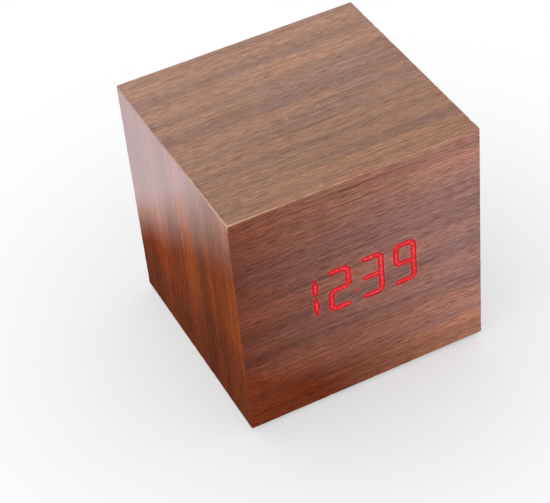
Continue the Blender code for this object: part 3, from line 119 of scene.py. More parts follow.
def number(name, description, default, **kind):
    return FloatProperty(name=name, description=description, default=default, **{"min": 0, **kind})


def length(name, description, metres):
    return number(name, description, metres, subtype="DISTANCE", unit="LENGTH", precision=6)


def amount(name, description, default, most=1.0):
    return number(name, description, default, max=most, subtype="FACTOR")


def three(name, description, *values, **kind):
    return FloatVectorProperty(name=name, description=description, default=values, **kind)


class ClockVeneer(bpy.types.PropertyGroup):
    """Sizes and colours of the six veneers."""

    thickness: length("Thickness", "Thickness of each sheet", 0.0005)
    easing: length("Easing", "Radius of the eased outer edges", 0.0004)
    chip_depth: length("Chip Depth", "Deepest chip along a worn edge", 0.00016)
    chip_length: length("Chip Length", "Usual length of a chip", 0.0011)
    band: length("Band", "Width of the broad soft bands", 0.0055)
    stripe: length("Stripe", "Width of the growth stripes", 0.0011)
    fibre: length("Fibre", "Width of the fine dark fibres", 0.00033)
    # Each face has its own deep and pale colour with painted light and shade in it: the top painted
    # lighter and the front darker, as the light fell on them.
    top_deep: shade("Top Deep", "Wood of the top at its front", 157, 119, 98)
    top_pale: shade("Top Pale", "Wood of the top at its back", 173, 135, 116)
    front_deep: shade("Front Deep", "Wood of the front at its lower left", 112, 53, 31)
    # The front's pale colour at its upper right is a painted sheen.
    front_pale: shade("Front Pale", "Wood of the front at its upper right", 170, 122, 106)
    left_deep: shade("Left Deep", "Wood of the left side where no light lies on it", 124, 61, 34)
    # The left's pale colour is a painted sheen, a painted reflection in its lacquer.
    left_pale: shade("Left Pale", "Wood of the left side at its back and top", 180, 136, 134)
    side_deep: shade("Side Deep", "Wood of the other sides at their front", 136, 92, 72)
    side_pale: shade("Side Pale", "Wood of the other sides at their back", 156, 114, 94)
    warm_band: shade("Warm Band", "Tint of the broad warm bands", 255, 248, 246)
    cool_band: shade("Cool Band", "Tint of the broad cool bands", 200, 208, 232)
    # The bare wood's colour is also the colour of the painted highlight along the eased edges.
    worn: shade("Worn", "Bare wood where an edge is rubbed", 232, 186, 154)
    roughness: amount("Roughness", "Roughness of the satin lacquer", 0.42)
    coat: amount("Coat", "Weight of the lacquer's own gloss", 0.12)
    haze: amount("Haze", "Extra gloss where the left side is polished", 0.9)


class ClockDigits(bpy.types.PropertyGroup):
    """Sizes and colours of the lit digits."""

    width: length("Width", "Between the middles of a digit's upright strokes", 0.0046)
    height: length("Height", "Between the middles of the top and bottom strokes", 0.0111)
    stroke: length("Stroke", "Width of a lit stroke", 0.00156)
    corner: length("Corner", "How far each corner of a digit is cut off", 0.00085)
    gap: length("Gap", "Dark gap where two strokes end", 0.00034)
    dot: length("Dot", "Radius of the colon's dots", 0.00062)
    dot_spacing: length("Dot Spacing", "Between the colon's dots", 0.0054)
    halo: length("Halo", "How far the glow spreads in the wood", 0.0005)
    spark: shade("Spark", "Brightest spots of a lit stroke", 255, 108, 124)
    core: shade("Core", "Middle of a lit stroke", 238, 24, 42)
    rim: shade("Rim", "Edge of a lit stroke", 146, 8, 12)
    spread: shade("Spread", "Glow in the wood round a stroke", 140, 16, 16)
    strength: amount("Strength", "Strength of the lit strokes", 1.0, 5.0)


class ClockHardware(bpy.types.PropertyGroup):
    """Sizes and colours of the plastic, rubber and metal parts."""

    plastic: shade("Plastic", "Moulded black plastic", 34, 34, 36)
    plastic_worn: shade("Plastic Worn", "Rubbed black plastic", 62, 62, 64)
    housing: shade("Housing", "White plastic of the display housing", 226, 224, 216)
    board: shade("Board", "Pale fibre board", 176, 142, 104)
    mask: shade("Mask", "Green lacquer of the circuit boards", 22, 84, 52)
    copper: shade("Copper", "Tinned copper of the boards", 190, 176, 150)
    steel: shade("Steel", "Plated steel", 186, 186, 182)
    rubber: shade("Rubber", "Feet", 44, 43, 42)
    jacket: shade("Jacket", "Body of the battery cells", 44, 88, 120)
    jacket_band: shade("Jacket Band", "Band at the cells' positive end", 200, 160, 84)
    mark_height: length("Mark Height", "How far the marks stand out of the plastic", 0.00008)
    foot_bump: length("Foot Bump", "Spacing of the feet's grip bumps", 0.00085)


class ClockStage(bpy.types.PropertyGroup):
    """The floor, the lamps and the camera."""

    floor: shade("Floor", "Pale floor", 248, 248, 248)
    floor_own: amount("Floor Glow", "Share of the floor near the clock that shows as plain white", 0.45)
    floor_clear: length("Floor Clear", "Distance at which the whole floor shows as plain white", 0.13)
    sky: amount("Sky", "Strength of the light from all round", 0.84, 4.0)
    key: number("Key", "Power of the overhead lamp", 0.5, unit="POWER")
    fill: number("Fill", "Power of the lamp at the left", 0.5, unit="POWER")
    front: number("Front", "Power of the lamp before the clock", 0.3, unit="POWER")
    lens: number("Lens", "Focal length in millimetres", 120.13, min=1)
    place: three(
        "Camera Place", "Where the camera stands", -0.1377845, -0.3071736, 0.3168351,
        subtype="TRANSLATION", unit="LENGTH",
    )
    look: three("Camera Look", "Way that the camera looks", 0.2916178, 0.69161544, -0.66077768)
    right: three("Camera Right", "The camera's own right", 0.88902808, -0.45088436, -0.07957619)


GROUPS = {
    "clock_veneer": ClockVeneer,
    "clock_digits": ClockDigits,
    "clock_hardware": ClockHardware,
    "clock_stage": ClockStage,
}


def socket_of(sockets, key):
    """The socket with that place or identifier, or else that name."""
    if isinstance(key, int):
        return sockets[key]
    return next((socket for socket in sockets if socket.identifier == key), None) or sockets[key]


def new_node(tree, kind, sockets=None, output=0, **settings):
    """Adds a node, its settings first and then its sockets' values or links. Gives one of its outputs."""
    node = tree.nodes.new(kind)
    for name, value in settings.items():
        setattr(node, name, value)
    for key, value in (sockets or {}).items():
        socket = socket_of(node.inputs, key)
        if isinstance(value, Value):
            value = value.socket
        if isinstance(value, bpy.types.NodeSocket):
            tree.links.new(value, socket)
        elif hasattr(value, "__len__") and len(value) == 3 and len(socket.default_value) == 4:
            socket.default_value = (*value, 1)
        else:
            socket.default_value = value
    return socket_of(node.outputs, output) if node.outputs else None


class Value:
    """A number that a node gives, so that shader maths reads as plain expressions."""

    def __init__(self, recipe, socket):
        self.recipe = recipe
        self.socket = socket

    def math(self, operation, *others):
        return self.recipe.math(operation, self, *others)

    def __add__(self, other):
        return self.math("ADD", other)

    def __mul__(self, other):
        return self.math("MULTIPLY", other)

    def __sub__(self, other):
        return self.math("SUBTRACT", other)

    def __rsub__(self, other):
        return self.recipe.math("SUBTRACT", other, self)

    def __pow__(self, other):
        return self.math("POWER", other)

    def __abs__(self):
        return self.math("ABSOLUTE")

    __radd__, __rmul__ = __add__, __mul__

    def most(self, other):
        return self.math("MINIMUM", other)

    def least(self, other):
        return self.math("MAXIMUM", other)

    def step(self, start, end):
        """0 at start and 1 at end, smooth between them. start may be the larger."""
        low, high = sorted((start, end))
        sockets = {"Value": self, "From Min": low, "From Max": high, "To Min": 0.0, "To Max": 1.0}
        rise = self.recipe.add("ShaderNodeMapRange", sockets, interpolation_type="SMOOTHSTEP")
        return rise if start < end else 1 - rise


class Recipe:
    """One finish: its material's node tree and the calls that fill it."""

    def __init__(self, name):
        self.material = bpy.data.materials.new(name)
        self.material.use_nodes = True
        self.tree = self.material.node_tree
        self.tree.nodes.clear()
        place = self.add("ShaderNodeTexCoord", output="Object")
        # The object's own place in millimetres, whole and as X, Y and Z
        self.place = self.add("ShaderNodeVectorMath", {0: place, "Scale": 1 / MM}, operation="SCALE")
        self.axes = [self.add("ShaderNodeSeparateXYZ", {0: self.place}, axis) for axis in range(3)]

    def add(self, *request, **more):
        return Value(self, new_node(self.tree, *request, **more))

    def math(self, operation, *inputs):
        return self.add("ShaderNodeMath", dict(enumerate(inputs)), operation=operation)

    def joined(self, x, y, z):
        return self.add("ShaderNodeCombineXYZ", {0: x, 1: y, 2: z})

    def cloud(self, scale, detail=2.0, rough=0.5, warp=0.0, vector=None):
        """Soft noise from 0 to 1, round all over unless the vector draws it out."""
        sockets = {"Vector": vector or self.place, "Scale": scale, "Detail": detail, "Roughness": rough}
        return self.add("ShaderNodeTexNoise", sockets | {"Distortion": warp})

    def strands(self, x, y, z, detail=2.0, rough=0.5, warp=0.0):
        """Noise drawn out by how much slower one axis runs than the others."""
        return self.cloud(1.0, detail, rough, warp, self.joined(x, y, z))

    def cells(self, vector, scale, randomness=1.0, **settings):
        sockets = {"Vector": vector, "Scale": scale, "Randomness": randomness}
        return self.add("ShaderNodeTexVoronoi", sockets, "Distance", **settings)

    def attribute(self, name):
        return self.add("ShaderNodeAttribute", None, "Fac", attribute_name=name)

    def blend(self, share, low, high, kind="MIX"):
        """A colour between low and high; kind is how high is laid over low."""
        sockets = {"Factor_Float": share, "A_Color": low, "B_Color": high}
        return self.add("ShaderNodeMix", sockets, "Result_Color", data_type="RGBA", blend_type=kind)

    def layers(self, colour, *coats, kind="MIX"):
        """A colour with others laid over it in turn, each by its own share."""
        for share, coat in coats:
            colour = self.blend(share, colour, coat, kind)
        return colour

    def tints(self, colour, *coats):
        """A colour multiplied by tints in turn, each by its own share."""
        return self.layers(colour, *coats, kind="MULTIPLY")

    def bump(self, height, depth):
        """Height from 0 to 1 as a relief that is depth metres high."""
        return self.add("ShaderNodeBump", {"Height": height, "Strength": 1.0, "Distance": depth})

    def finish(self, **sockets):
        """Ends the finish in a Principled shader. Names are written with _ for a space."""
        sockets = {name.replace("_", " "): value for name, value in sockets.items()}
        return self.end(self.add("ShaderNodeBsdfPrincipled", sockets))

    def end(self, shader):
        self.add("ShaderNodeOutputMaterial", {"Surface": shader})
        return self.material


def grain_places(recipe, sheet):
    """Millimetres along the grain and across it, a little wavy, and the sheet's place in the log."""
    outward, _, along, log, _ = SHEETS[sheet]
    across = next(axis for axis in (2, 1, 0) if axis not in (outward, along))
    u, v = recipe.axes[along] + log * 7.3, recipe.axes[across] + log * 3.1
    drift = recipe.strands(u * 0.018, v * 0.05, log)
    curl = recipe.strands(u * 0.09, v * 0.22, log + 5, 1.0)
    return u, v + drift * 2.6 + curl * 0.4, log


def painted_light_share(recipe, kind):
    """How much painted light lies across a sheet, from 0 to 1: a painted sheen on the left, highest at its
    back and top; a painted sheen at the front's upper right, less a painted shadow near its bottom that is
    deepest at the left; elsewhere paler towards the back.
    """
    x, y, z = recipe.axes
    if kind == "left":
        # Painted sheen on the left, highest at its back and top.
        drift = recipe.strands(0.0, y * 0.12, z * 0.03)
        return ((z + y * 0.68 + drift * 6 - 47) * (y * 0.0005 + 0.0417) + 0.5).step(0.0, 1.0)
    if kind == "front":
        # Painted sheen on the front, growing towards its upper right.
        drift = recipe.strands(x * 0.03, 0.0, z * 0.12)
        # Painted shadow near the bottom of the front, deepest at its left.
        foot = z.step(20.0, 4.0) * (32 - x) * 0.008
        return (x * 0.016 + z * 0.002 + drift * 0.16 + 0.46 - foot).most(1.0).least(0.0)
    return (y * 0.0167 + 0.5).most(1.0).least(0.0)


GRAIN_DEPTH = 0.03 * MM
# Where each broad band of the front starts and ends above the floor, and its tint
FRONT_BANDS = (
    (-5.0, 8.5, (1.20, 1.08, 0.86)),
    (8.5, 15.0, (1.18, 1.14, 1.08)),
    (15.0, 21.0, (0.95, 0.94, 0.92)),
    (21.0, 40.0, (0.91, 0.95, 1.03)),
    (40.0, 51.5, (0.80, 0.88, 0.98)),
    (51.5, 58.5, (1.24, 1.22, 1.12)),
)


def left_painted_light(recipe, pale):
    """The painted light and shade of the left side as tints, each as where it lies and its tint: warmer
    and darker patches and a lighter front edge.
    """
    _, y, z = recipe.axes
    # Painted warm reflection across the middle of the side, and lower down at its back.
    warm_reflection = z.step(20.0, 30.0) * z.step(54.0, 44.0) * y.step(8.0, -6.0)
    rear_warm_reflection = z.step(12.0, 20.0) * z.step(44.0, 34.0) * y.step(-2.0, 8.0) * (1 - pale * 0.7)
    dark_stripe = y.step(-6.0, -16.0) * y.step(-27.0, -20.0)
    return (
        # Warmer where the painted sheen fades out.
        (pale * (1 - pale) * 3.4, (1.0, 0.80, 0.58)),
        (warm_reflection, (1.20, 1.22, 0.96)),
        (rear_warm_reflection, (1.25, 1.09, 0.80)),
        # Painted shade, darker towards the bottom, and darker in a stripe near the front.
        ((z.step(36.0, 4.0) * 0.8 + dark_stripe * 0.7).most(1.0), (0.70, 0.67, 0.62)),
        # Painted highlight, lighter along the front edge.
        (y.step(-20.0, -28.0) * 0.9, (1.30, 1.24, 1.10)),
    )


def wood_colour(recipe, sheet):
    """The veneer's colour with its painted light and shade, the fibres and pores that also roughen it, and
    the share of painted light.
    """
    veneer = bpy.context.scene.clock_veneer
    kind = SHEETS[sheet][4]
    u, v, log = grain_places(recipe, sheet)
    z = recipe.axes[2]
    pale = painted_light_share(recipe, kind)
    patches = ()
    if kind == "left":
        patches = left_painted_light(recipe, pale)
    if kind == "front":
        for start, end, tint in FRONT_BANDS:
            patches += ((z.step(start - 3, start + 3) * z.step(end + 3, end - 3), tint),)
    # From the face's deep colour to its pale one by the share of painted light, then the left's painted
    # light tints or the front's bands.
    body = recipe.blend(pale, *(tuple(getattr(veneer, f"{kind}_{end}")) for end in ("deep", "pale")))
    body = recipe.tints(body, *patches)

    def grain(along, across, seed, detail, rough):
        return recipe.strands(u * along, v * across, log + seed, detail, rough)

    fibre = MM / veneer.fibre
    bands = grain(0.008, MM / veneer.band, 0, 3.0, 0.55)
    growth = grain(0.011, MM / veneer.stripe, 2, 3.0, 0.6)
    fine = grain(0.08, fibre * 0.62, 3, 3.0, 0.65)
    hatch = grain(0.34, fibre * 2.3, 9, 3.0, 0.65)
    streaks = grain(0.022, fibre * 0.9, 4, 2.0, 0.5).step(0.56, 0.66)
    pores = grain(0.16, fibre * 1.1, 6, 1.0, 0.4).step(0.6, 0.7)
    light = fine.step(0.3, 0.7) * 0.24 + hatch.step(0.34, 0.66) * 0.70 + 0.06
    tone = recipe.blend(light, (0.77, 0.52, 0.34), (1.93, 2.06, 2.02))
    rings = recipe.blend(growth.step(0.26, 0.74), (0.86, 0.90, 0.95), (1.14, 1.10, 1.05))
    contrast = {"front": 0.6, "top": 0.72}.get(kind, 1.0)
    warmth = bands.step(0.34, 0.66) * contrast + (1 - contrast) / 2
    warm = recipe.blend(warmth, veneer.cool_band, veneer.warm_band)
    # On the left the grain fades where the painted sheen lies.
    flat = pale * 0.5 + 0.08 if kind == "left" else {"top": 0.24, "front": 0.0, "side": 0.1}[kind]
    tone = recipe.layers(
        recipe.tints(tone, (1.0, rings), (1.0, warm)),
        (streaks * 0.58, (0.42, 0.34, 0.28)),
        (pores * 0.60, (0.34, 0.26, 0.20)),
        (flat, (1.0, 1.0, 1.0)),
    )
    return recipe.tints(body, (1.0, tone)), streaks * 0.6 + pores * 0.7, fine, pale


def edge_wear_and_highlight(recipe, colour):
    """Rubbed and chipped wood along the case's edges, and a pale painted highlight along its eased edges,
    most of all round its near top corner.
    """
    veneer = bpy.context.scene.clock_veneer
    x, y, z = recipe.axes
    # Stronger painted highlight and wear along the front, most of all at its top.
    front_highlight_and_wear = y.step(10.0, -18.0) * x.step(31.4, 22.0) * (z.step(60.5, 62.8) * 0.7 + 0.3)
    front = y.step(-27.0, -29.0)
    upright = z.step(64.0, 62.0) * x.step(-29.0, -31.0) * front
    top_line = z.step(62.0, 63.5) * x.step(-30.0, -20.0) * front
    near = recipe.attribute("edge") + front_highlight_and_wear * 0.16 - 0.16 - upright * 0.16 - top_line * 0.05
    ragged = recipe.cloud(0.55, 4.0, 0.65) * 0.75 + recipe.cloud(0.06, 1.0) * 0.5
    rubbed = (near + ragged * 0.7).step(1.40, 1.52)
    # line: a pale painted highlight along the eased edges, laid in the colour of bare wood.
    line = (near + ragged * 0.5).step(1.10, 1.22)
    worn = recipe.blend(recipe.cloud(1.3, 3.0), veneer.worn, darker(veneer.worn, 0.7))
    return recipe.layers(colour, (line * 0.85, worn), (rubbed * 0.85, worn)), rubbed


def veneer_finish(sheet):
    """Walnut veneer under satin lacquer, laid as that sheet of the case lies."""
    veneer, digits = bpy.context.scene.clock_veneer, bpy.context.scene.clock_digits
    recipe = Recipe(f"wood_{sheet}")
    colour, relief, fine, pale = wood_colour(recipe, sheet)
    colour, rubbed = edge_wear_and_highlight(recipe, colour)
    x, y, z = recipe.axes
    scratch = recipe.strands(x * 0.35, y * 2.2, z * 2.2, 1.0).step(0.76, 0.79)
    flecks = recipe.cloud(1.9, 0.0).step(0.8, 0.86)
    satin = recipe.cloud(0.05, 3.0)
    coat = (pale * 0.6 + 0.3 - rubbed * 0.3 - relief * 0.3).least(0.0) * veneer.coat
    if SHEETS[sheet][4] == "left":
        coat = (coat + pale * veneer.haze).most(1.0)
    sockets = {
        "Base_Color": recipe.tints(colour, ((scratch + flecks).most(1.0), (1.7, 1.6, 1.5))),
        "Roughness": relief * 0.12 + rubbed * 0.25 + satin * 0.12 + (veneer.roughness - 0.06),
        "Coat_Weight": coat,
        "Coat_Roughness": 0.28,
        "Coat_IOR": 1.6,
        "Specular_IOR_Level": 0.0,
        "Normal": recipe.bump(1 - relief * 0.7 - fine * 0.3, GRAIN_DEPTH),
    }
    if SHEETS[sheet][4] == "front":
        glow = recipe.attribute("glow")
        specks = recipe.cloud(2.4, 1.0).step(0.68, 0.76) * glow.step(0.002, 0.02)
        through = (glow * (1 - relief * 0.6) + specks * 0.7).most(1.0)
        sockets["Emission_Color"] = recipe.blend(through, (0, 0, 0), digits.spread)
        sockets["Emission_Strength"] = 1.0
    return recipe.finish(**sockets)


def lit_finish(name, strength):
    """Wood that a light shines through: dark red at a stroke's rim, sparks where the fibres are thin."""
    digits = bpy.context.scene.clock_digits
    recipe = Recipe(name)
    colour, relief, fine, _ = wood_colour(recipe, "front_veneer")
    depth = recipe.attribute("lit_depth")
    speckle = recipe.cloud(1.5, 3.0, 0.6)
    sparks = (speckle + depth * 0.12 - relief * 0.08).step(0.60, 0.74) * depth.step(0.3, 0.8)
    glow = recipe.layers(
        digits.rim,
        (depth.step(0.14, 0.92), digits.core),
        (sparks * 0.6, digits.spark),
        ((fine.step(0.5, 0.3) + relief * 0.4).most(1.0) * 0.42, digits.rim),
    )
    return recipe.finish(
        Base_Color=recipe.blend(0.92 * strength, colour, (0.04, 0.0, 0.0)),
        Roughness=relief * 0.1 + 0.6,
        Specular_IOR_Level=0.1,
        Emission_Color=glow,
        Emission_Strength=strength * digits.strength,
        Normal=recipe.bump(1 - relief * 0.7 - fine * 0.3, GRAIN_DEPTH),
    )


def moulded_finish(name, colour, worn, grain=0.16, roughness=0.5, gloss=0.4):
    """Moulded plastic or rubber with a fine spark-eroded texture, dust and rubbed places."""
    recipe = Recipe(name)
    texture = recipe.cells(recipe.place, 1 / grain, feature="SMOOTH_F1")
    mottle = recipe.cloud(0.35, 4.0, 0.6)
    dust = recipe.cloud(3.5).step(0.62, 0.78)
    dusty = tuple(min(1, c * 1.6 + 0.03) for c in worn)
    return recipe.finish(
        Base_Color=recipe.layers(colour, (mottle.step(0.35, 0.75) * 0.55, worn), (dust * 0.22, dusty)),
        Roughness=mottle * 0.18 + texture * 0.12 + dust * 0.1 + (roughness - 0.15),
        Specular_IOR_Level=gloss,
        Normal=recipe.bump(texture * 0.8 + mottle * 0.2, 0.02 * MM),
    )


def black_finish(name, *rest):
    hardware = bpy.context.scene.clock_hardware
    return moulded_finish(name, hardware.plastic, hardware.plastic_worn, *rest)


def fibreboard_finish():
    board = tuple(bpy.context.scene.clock_hardware.board)
    recipe = Recipe("fibre_board")
    x, y, z = recipe.axes
    fibres = recipe.strands(x * 0.7, y * 2.6, z * 2.6, 5.0, 0.7, 0.6)
    flecks = recipe.cloud(4.0, 3.0, 0.6).step(0.6, 0.72)
    paler = tuple(min(1.0, c * 1.25) for c in board)
    coats = (fibres.step(0.3, 0.7), paler), (flecks * 0.5, darker(board, 0.3))
    tone = recipe.layers(darker(board, 0.6), *coats)
    height = recipe.bump(fibres, 0.05 * MM)
    rough = fibres * 0.1 + 0.82
    return recipe.finish(Base_Color=tone, Roughness=rough, Specular_IOR_Level=0.25, Normal=height)


def circuit_finish():
    """Solder mask over traces, with tinned pads and drilled vias."""
    hardware = bpy.context.scene.clock_hardware
    recipe = Recipe("circuit_board")
    flat = recipe.joined(recipe.axes[0], 0.0, recipe.axes[2])
    maze = recipe.cells(flat, 0.45, 0.85, distance="CHEBYCHEV")
    traces = recipe.math("PINGPONG", maze, 0.09).step(0.03, 0.055)
    spots = recipe.cells(flat, 0.42)
    vias, holes = spots.step(0.16, 0.13), spots.step(0.07, 0.055)
    mottle = recipe.cloud(0.9, 3.0)
    tone = recipe.layers(
        darker(hardware.mask, 0.62),
        (traces, darker(hardware.mask, 1.35)),
        (mottle * 0.35, darker(hardware.mask, 0.4)),
        (vias, hardware.copper),
        (holes, (0.01, 0.01, 0.01)),
    )
    return recipe.finish(
        Base_Color=tone,
        Metallic=(vias - holes).least(0.0),
        Roughness=mottle * 0.15 + 0.28 + holes * 0.4,
        Normal=recipe.bump(traces * 0.6 + vias * 0.4 - holes * 0.5, 0.04 * MM),
    )


def metal_finish(name, colour, along=0, roughness=0.3, stain=0.35):
    """Drawn and plated metal: fine lines along one axis, cloudy stains and small scratches."""
    recipe = Recipe(name)
    drawn = (axis * (0.12 if place == along else 9.0) for place, axis in enumerate(recipe.axes))
    lines = recipe.strands(*drawn, 4.0, 0.7)
    cloudy = recipe.cloud(0.5, 4.0, 0.6)
    spots = recipe.cloud(2.6).step(0.66, 0.76)
    stained = tuple(c * s for c, s in zip(colour, (0.66, 0.58, 0.46)))
    tone = recipe.layers(
        colour,
        (lines.step(0.3, 0.7) * 0.3, darker(colour, 0.7)),
        (cloudy.step(0.45, 0.8) * stain, stained),
        (spots * 0.3, darker(colour, 0.35)),
    )
    return recipe.finish(
        Base_Color=tone,
        Metallic=1 - spots * 0.4,
        Roughness=lines * 0.14 + cloudy * 0.14 + spots * 0.25 + (roughness - 0.1),
        Normal=recipe.bump(lines * 0.7 + cloudy * 0.3, 0.01 * MM),
    )


def cell_finish(cell):
    """A cell's printed sleeve, plain but for its bands, with the bare can past its ends."""
    hardware = bpy.context.scene.clock_hardware
    low, high = (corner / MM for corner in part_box(cell))
    recipe = Recipe(f"jacket_{cell}")
    x, y, z = recipe.axes
    along = high.x - x if low.x + high.x > 0 else x - low.x
    aside = [axis - (low[k] + high[k]) / 2 for k, axis in ((1, y), (2, z))]
    bare = ((aside[0] * aside[0] + aside[1] * aside[1]) ** 0.5).step(4.82, 4.74)
    band = along.step(13.2, 13.0)
    rule = abs(along - 13.6).step(0.28, 0.2) + abs(along - (high.x - low.x - 3.0)).step(0.28, 0.2)
    foil = recipe.strands(x * 0.2, y * 5, z * 5, 3.0)
    scuffs = recipe.strands(x * 2.2, y * 0.6, z * 0.6, 5.0, 0.7).step(0.6, 0.7)
    tone = recipe.layers(
        hardware.jacket,
        (band, hardware.jacket_band),
        (rule, (0.82, 0.82, 0.8)),
        (foil * 0.3, (0.05, 0.05, 0.06)),
        (scuffs * 0.35, (0.6, 0.6, 0.6)),
        (bare, hardware.steel),
    )
    return recipe.finish(
        Base_Color=tone,
        Metallic=(bare + band * 0.6 + 0.25).most(1.0),
        Roughness=foil * 0.16 + scuffs * 0.2 + 0.24,
        Coat_Weight=(1 - bare) * 0.4,
        Coat_Roughness=0.12,
        Normal=recipe.bump(scuffs * 0.5 + foil * 0.5, 0.015 * MM),
    )


def sleeve_finish(name, colour, along, stripe=None):
    """Soft plastic drawn along an axis, with faint rings and dust, and on some a pale stripe."""
    recipe = Recipe(name)
    drawn = (axis * (2.4 if place == along else 0.5) for place, axis in enumerate(recipe.axes))
    rings = recipe.strands(*drawn, 3.0, 0.6)
    dust = recipe.cloud(3.0, 3.0, 0.6).step(0.55, 0.75)
    coats = [(rings.step(0.3, 0.7) * 0.4, darker(colour, 0.55)), (dust * 0.2, (0.5, 0.48, 0.46))]
    if stripe:
        place, low, high, paler = stripe
        axis = recipe.axes[place]
        coats.append((axis.step(low, low + 0.1) * axis.step(high, high - 0.1), paler))
    tone = recipe.layers(colour, *coats)
    rough = rings * 0.15 + dust * 0.2 + 0.35
    return recipe.finish(Base_Color=tone, Roughness=rough, Normal=recipe.bump(rings, 0.02 * MM))


def ribbon_finish():
    """Grey ribbon cable: round cores side by side, the first one marked."""
    recipe = Recipe("ribbon")
    across = recipe.axes[0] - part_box("ribbon_cable")[0].x / MM
    dip = recipe.math("PINGPONG", across, 0.4).step(0.0, 0.16)
    dust = recipe.cloud(2.5, 3.0).step(0.5, 0.75)
    tone = recipe.layers(
        (0.10, 0.10, 0.11),
        (dip, (0.34, 0.35, 0.37)),
        (across.step(0.86, 0.78) * 0.9, (0.36, 0.03, 0.03)),
        (dust * 0.25, (0.5, 0.5, 0.48)),
    )
    return recipe.finish(Base_Color=tone, Roughness=dust * 0.2 + 0.38, Normal=recipe.bump(dip, 0.15 * MM))


CASE_LOW, FRONT_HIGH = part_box("front_veneer")
CASE_HIGH = Vector((FRONT_HIGH.x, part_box("back_veneer")[1].y, FRONT_HIGH.z))
# Grid lines along an edge of the case, by their distance from it
EDGE_LINES = (0.0, 0.00012, 0.00026, 0.00042, 0.00062, 0.00095, 0.0015)
COARSE_STEP = 0.0012
FINE_STEP = 0.0002
WINDOW_STEP = 0.0005
WINDOW_FIT = 0.3 * MM
EDGE_REACH = 0.0016
# How much of its edge a cut cell keeps on each side at least
LEAST_SHARE = 0.05
COLON_GLOW = 0.35
DISPLAY_REACH = 0.8 * MM


def held(value, low=0.0, high=1.0):
    return min(max(value, low), high)


def inside_case(point, inset):
    """The nearest place to a point that lies so deep inside the case."""
    return Vector(held(point[k], CASE_LOW[k] + inset, CASE_HIGH[k] - inset) for k in range(3))


def face_axes(axis):
    return (axis + 1) % 3, (axis + 2) % 3


def middle_of(node):
    return [(low + high) / 2 for low, high in zip(*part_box(node))]


def add_object(name, data):
    made = bpy.data.objects.new(name, data)
    bpy.context.scene.collection.objects.link(made)
    return made


def mesh_of(name, form):
    mesh = bpy.data.meshes.new(name)
    form.to_mesh(mesh)
    form.free()
    return mesh


def new_piece(name, form, materials, body=BODY, smooth=30):
    """A finished form as an object at the origin, riding on its body."""
    bmesh.ops.recalc_face_normals(form, faces=form.faces)
    mesh = mesh_of(name, form)
    piece = add_object(name, mesh)
    for material in materials:
        mesh.materials.append(material)
    mesh.shade_smooth()
    mesh.set_sharp_from_angle(angle=math.radians(smooth))
    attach(piece, body)
    return piece


def dress(material, *nodes):
    """Gives carried-over CAD nodes their material."""
    for node in nodes:
        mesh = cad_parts[node].data
        mesh.materials.clear()
        mesh.materials.append(material)


def spaced(low, high, step):
    count = max(1, round((high - low) / step))
    return [low + (high - low) * place / count for place in range(count + 1)]


def axis_lines(axis, fine=None, fine_step=FINE_STEP):
    """Where a sheet's grid is cut along one axis: close at the edges and over the fine part."""
    low, high = CASE_LOW[axis], CASE_HIGH[axis]
    lines = [low + line for line in EDGE_LINES] + [high - line for line in EDGE_LINES]
    stops = [low + EDGE_LINES[-1], *(fine or ()), high - EDGE_LINES[-1]]
    for place, (start, end) in enumerate(zip(stops, stops[1:])):
        lines += spaced(start, end, fine_step if place == 1 else COARSE_STEP)
    lines.sort()
    return [line for place, line in enumerate(lines) if not place or line - lines[place - 1] > 0.01 * MM]


class CutGrid:
    """A flat grid of cells, cut in two along the line where a signed distance is nothing."""

    def __init__(self, us, vs, signed=None):
        self.points, self.known = [], {}
        self.outside, self.inside = [], []
        self.us, self.vs = us, vs
        self.field = [[signed(u, v) if signed else 1.0 for v in vs] for u in us]
        for i in range(len(us) - 1):
            for j in range(len(vs) - 1):
                self.cut_cell([(i, j), (i + 1, j), (i + 1, j + 1), (i, j + 1)])

    def value(self, corner):
        return self.field[corner[0]][corner[1]]

    def place(self, corner):
        return self.us[corner[0]], self.vs[corner[1]]

    def keep(self, key, point):
        if key not in self.known:
            self.known[key] = len(self.points)
            self.points.append(point)
        return self.known[key]

    def crossing(self, one, other):
        one, other = sorted((one, other))
        share = self.value(one) / (self.value(one) - self.value(other))
        share = held(share, LEAST_SHARE, 1 - LEAST_SHARE)
        point = tuple(a + (b - a) * share for a, b in zip(self.place(one), self.place(other)))
        return self.keep((one, other), point)

    def cut_cell(self, corners):
        out = [self.value(corner) > 0 for corner in corners]
        for wanted, loops in ((True, self.outside), (False, self.inside)):
            loop = []
            for place, corner in enumerate(corners):
                after = (place + 1) % 4
                if out[place] == wanted:
                    loop.append(self.keep(corner, self.place(corner)))
                if out[place] != out[after]:
                    loop.append(self.crossing(corner, corners[after]))
            if len(loop) == 6 and not wanted:
                loops += [loop[:2] + loop[5:], loop[2:5]] if out[1] else [loop[:3], loop[3:]]
            elif len(loop) > 2:
                loops.append(loop)


def nearest_edge(point, axis):
    """How far a point of the case's face is from the nearest edge of that face."""
    return min(min(point[k] - CASE_LOW[k], CASE_HIGH[k] - point[k]) for k in face_axes(axis))


def worn_surface(point, axis):
    """The place on the eased and chipped case of a point on its sharp outline."""
    veneer = bpy.context.scene.clock_veneer
    radius, chip_length = veneer.easing, veneer.chip_length
    middle = inside_case(point, radius)
    near = max(0.0, 1 - nearest_edge(point, axis) / (1.6 * radius))
    rough = noise.noise(point / chip_length) + 0.5 * noise.noise(point / (0.35 * chip_length))
    chip = veneer.chip_depth * near * held(rough * 2.2 - 0.35)
    return middle + (point - middle).normalized() * (radius - chip)


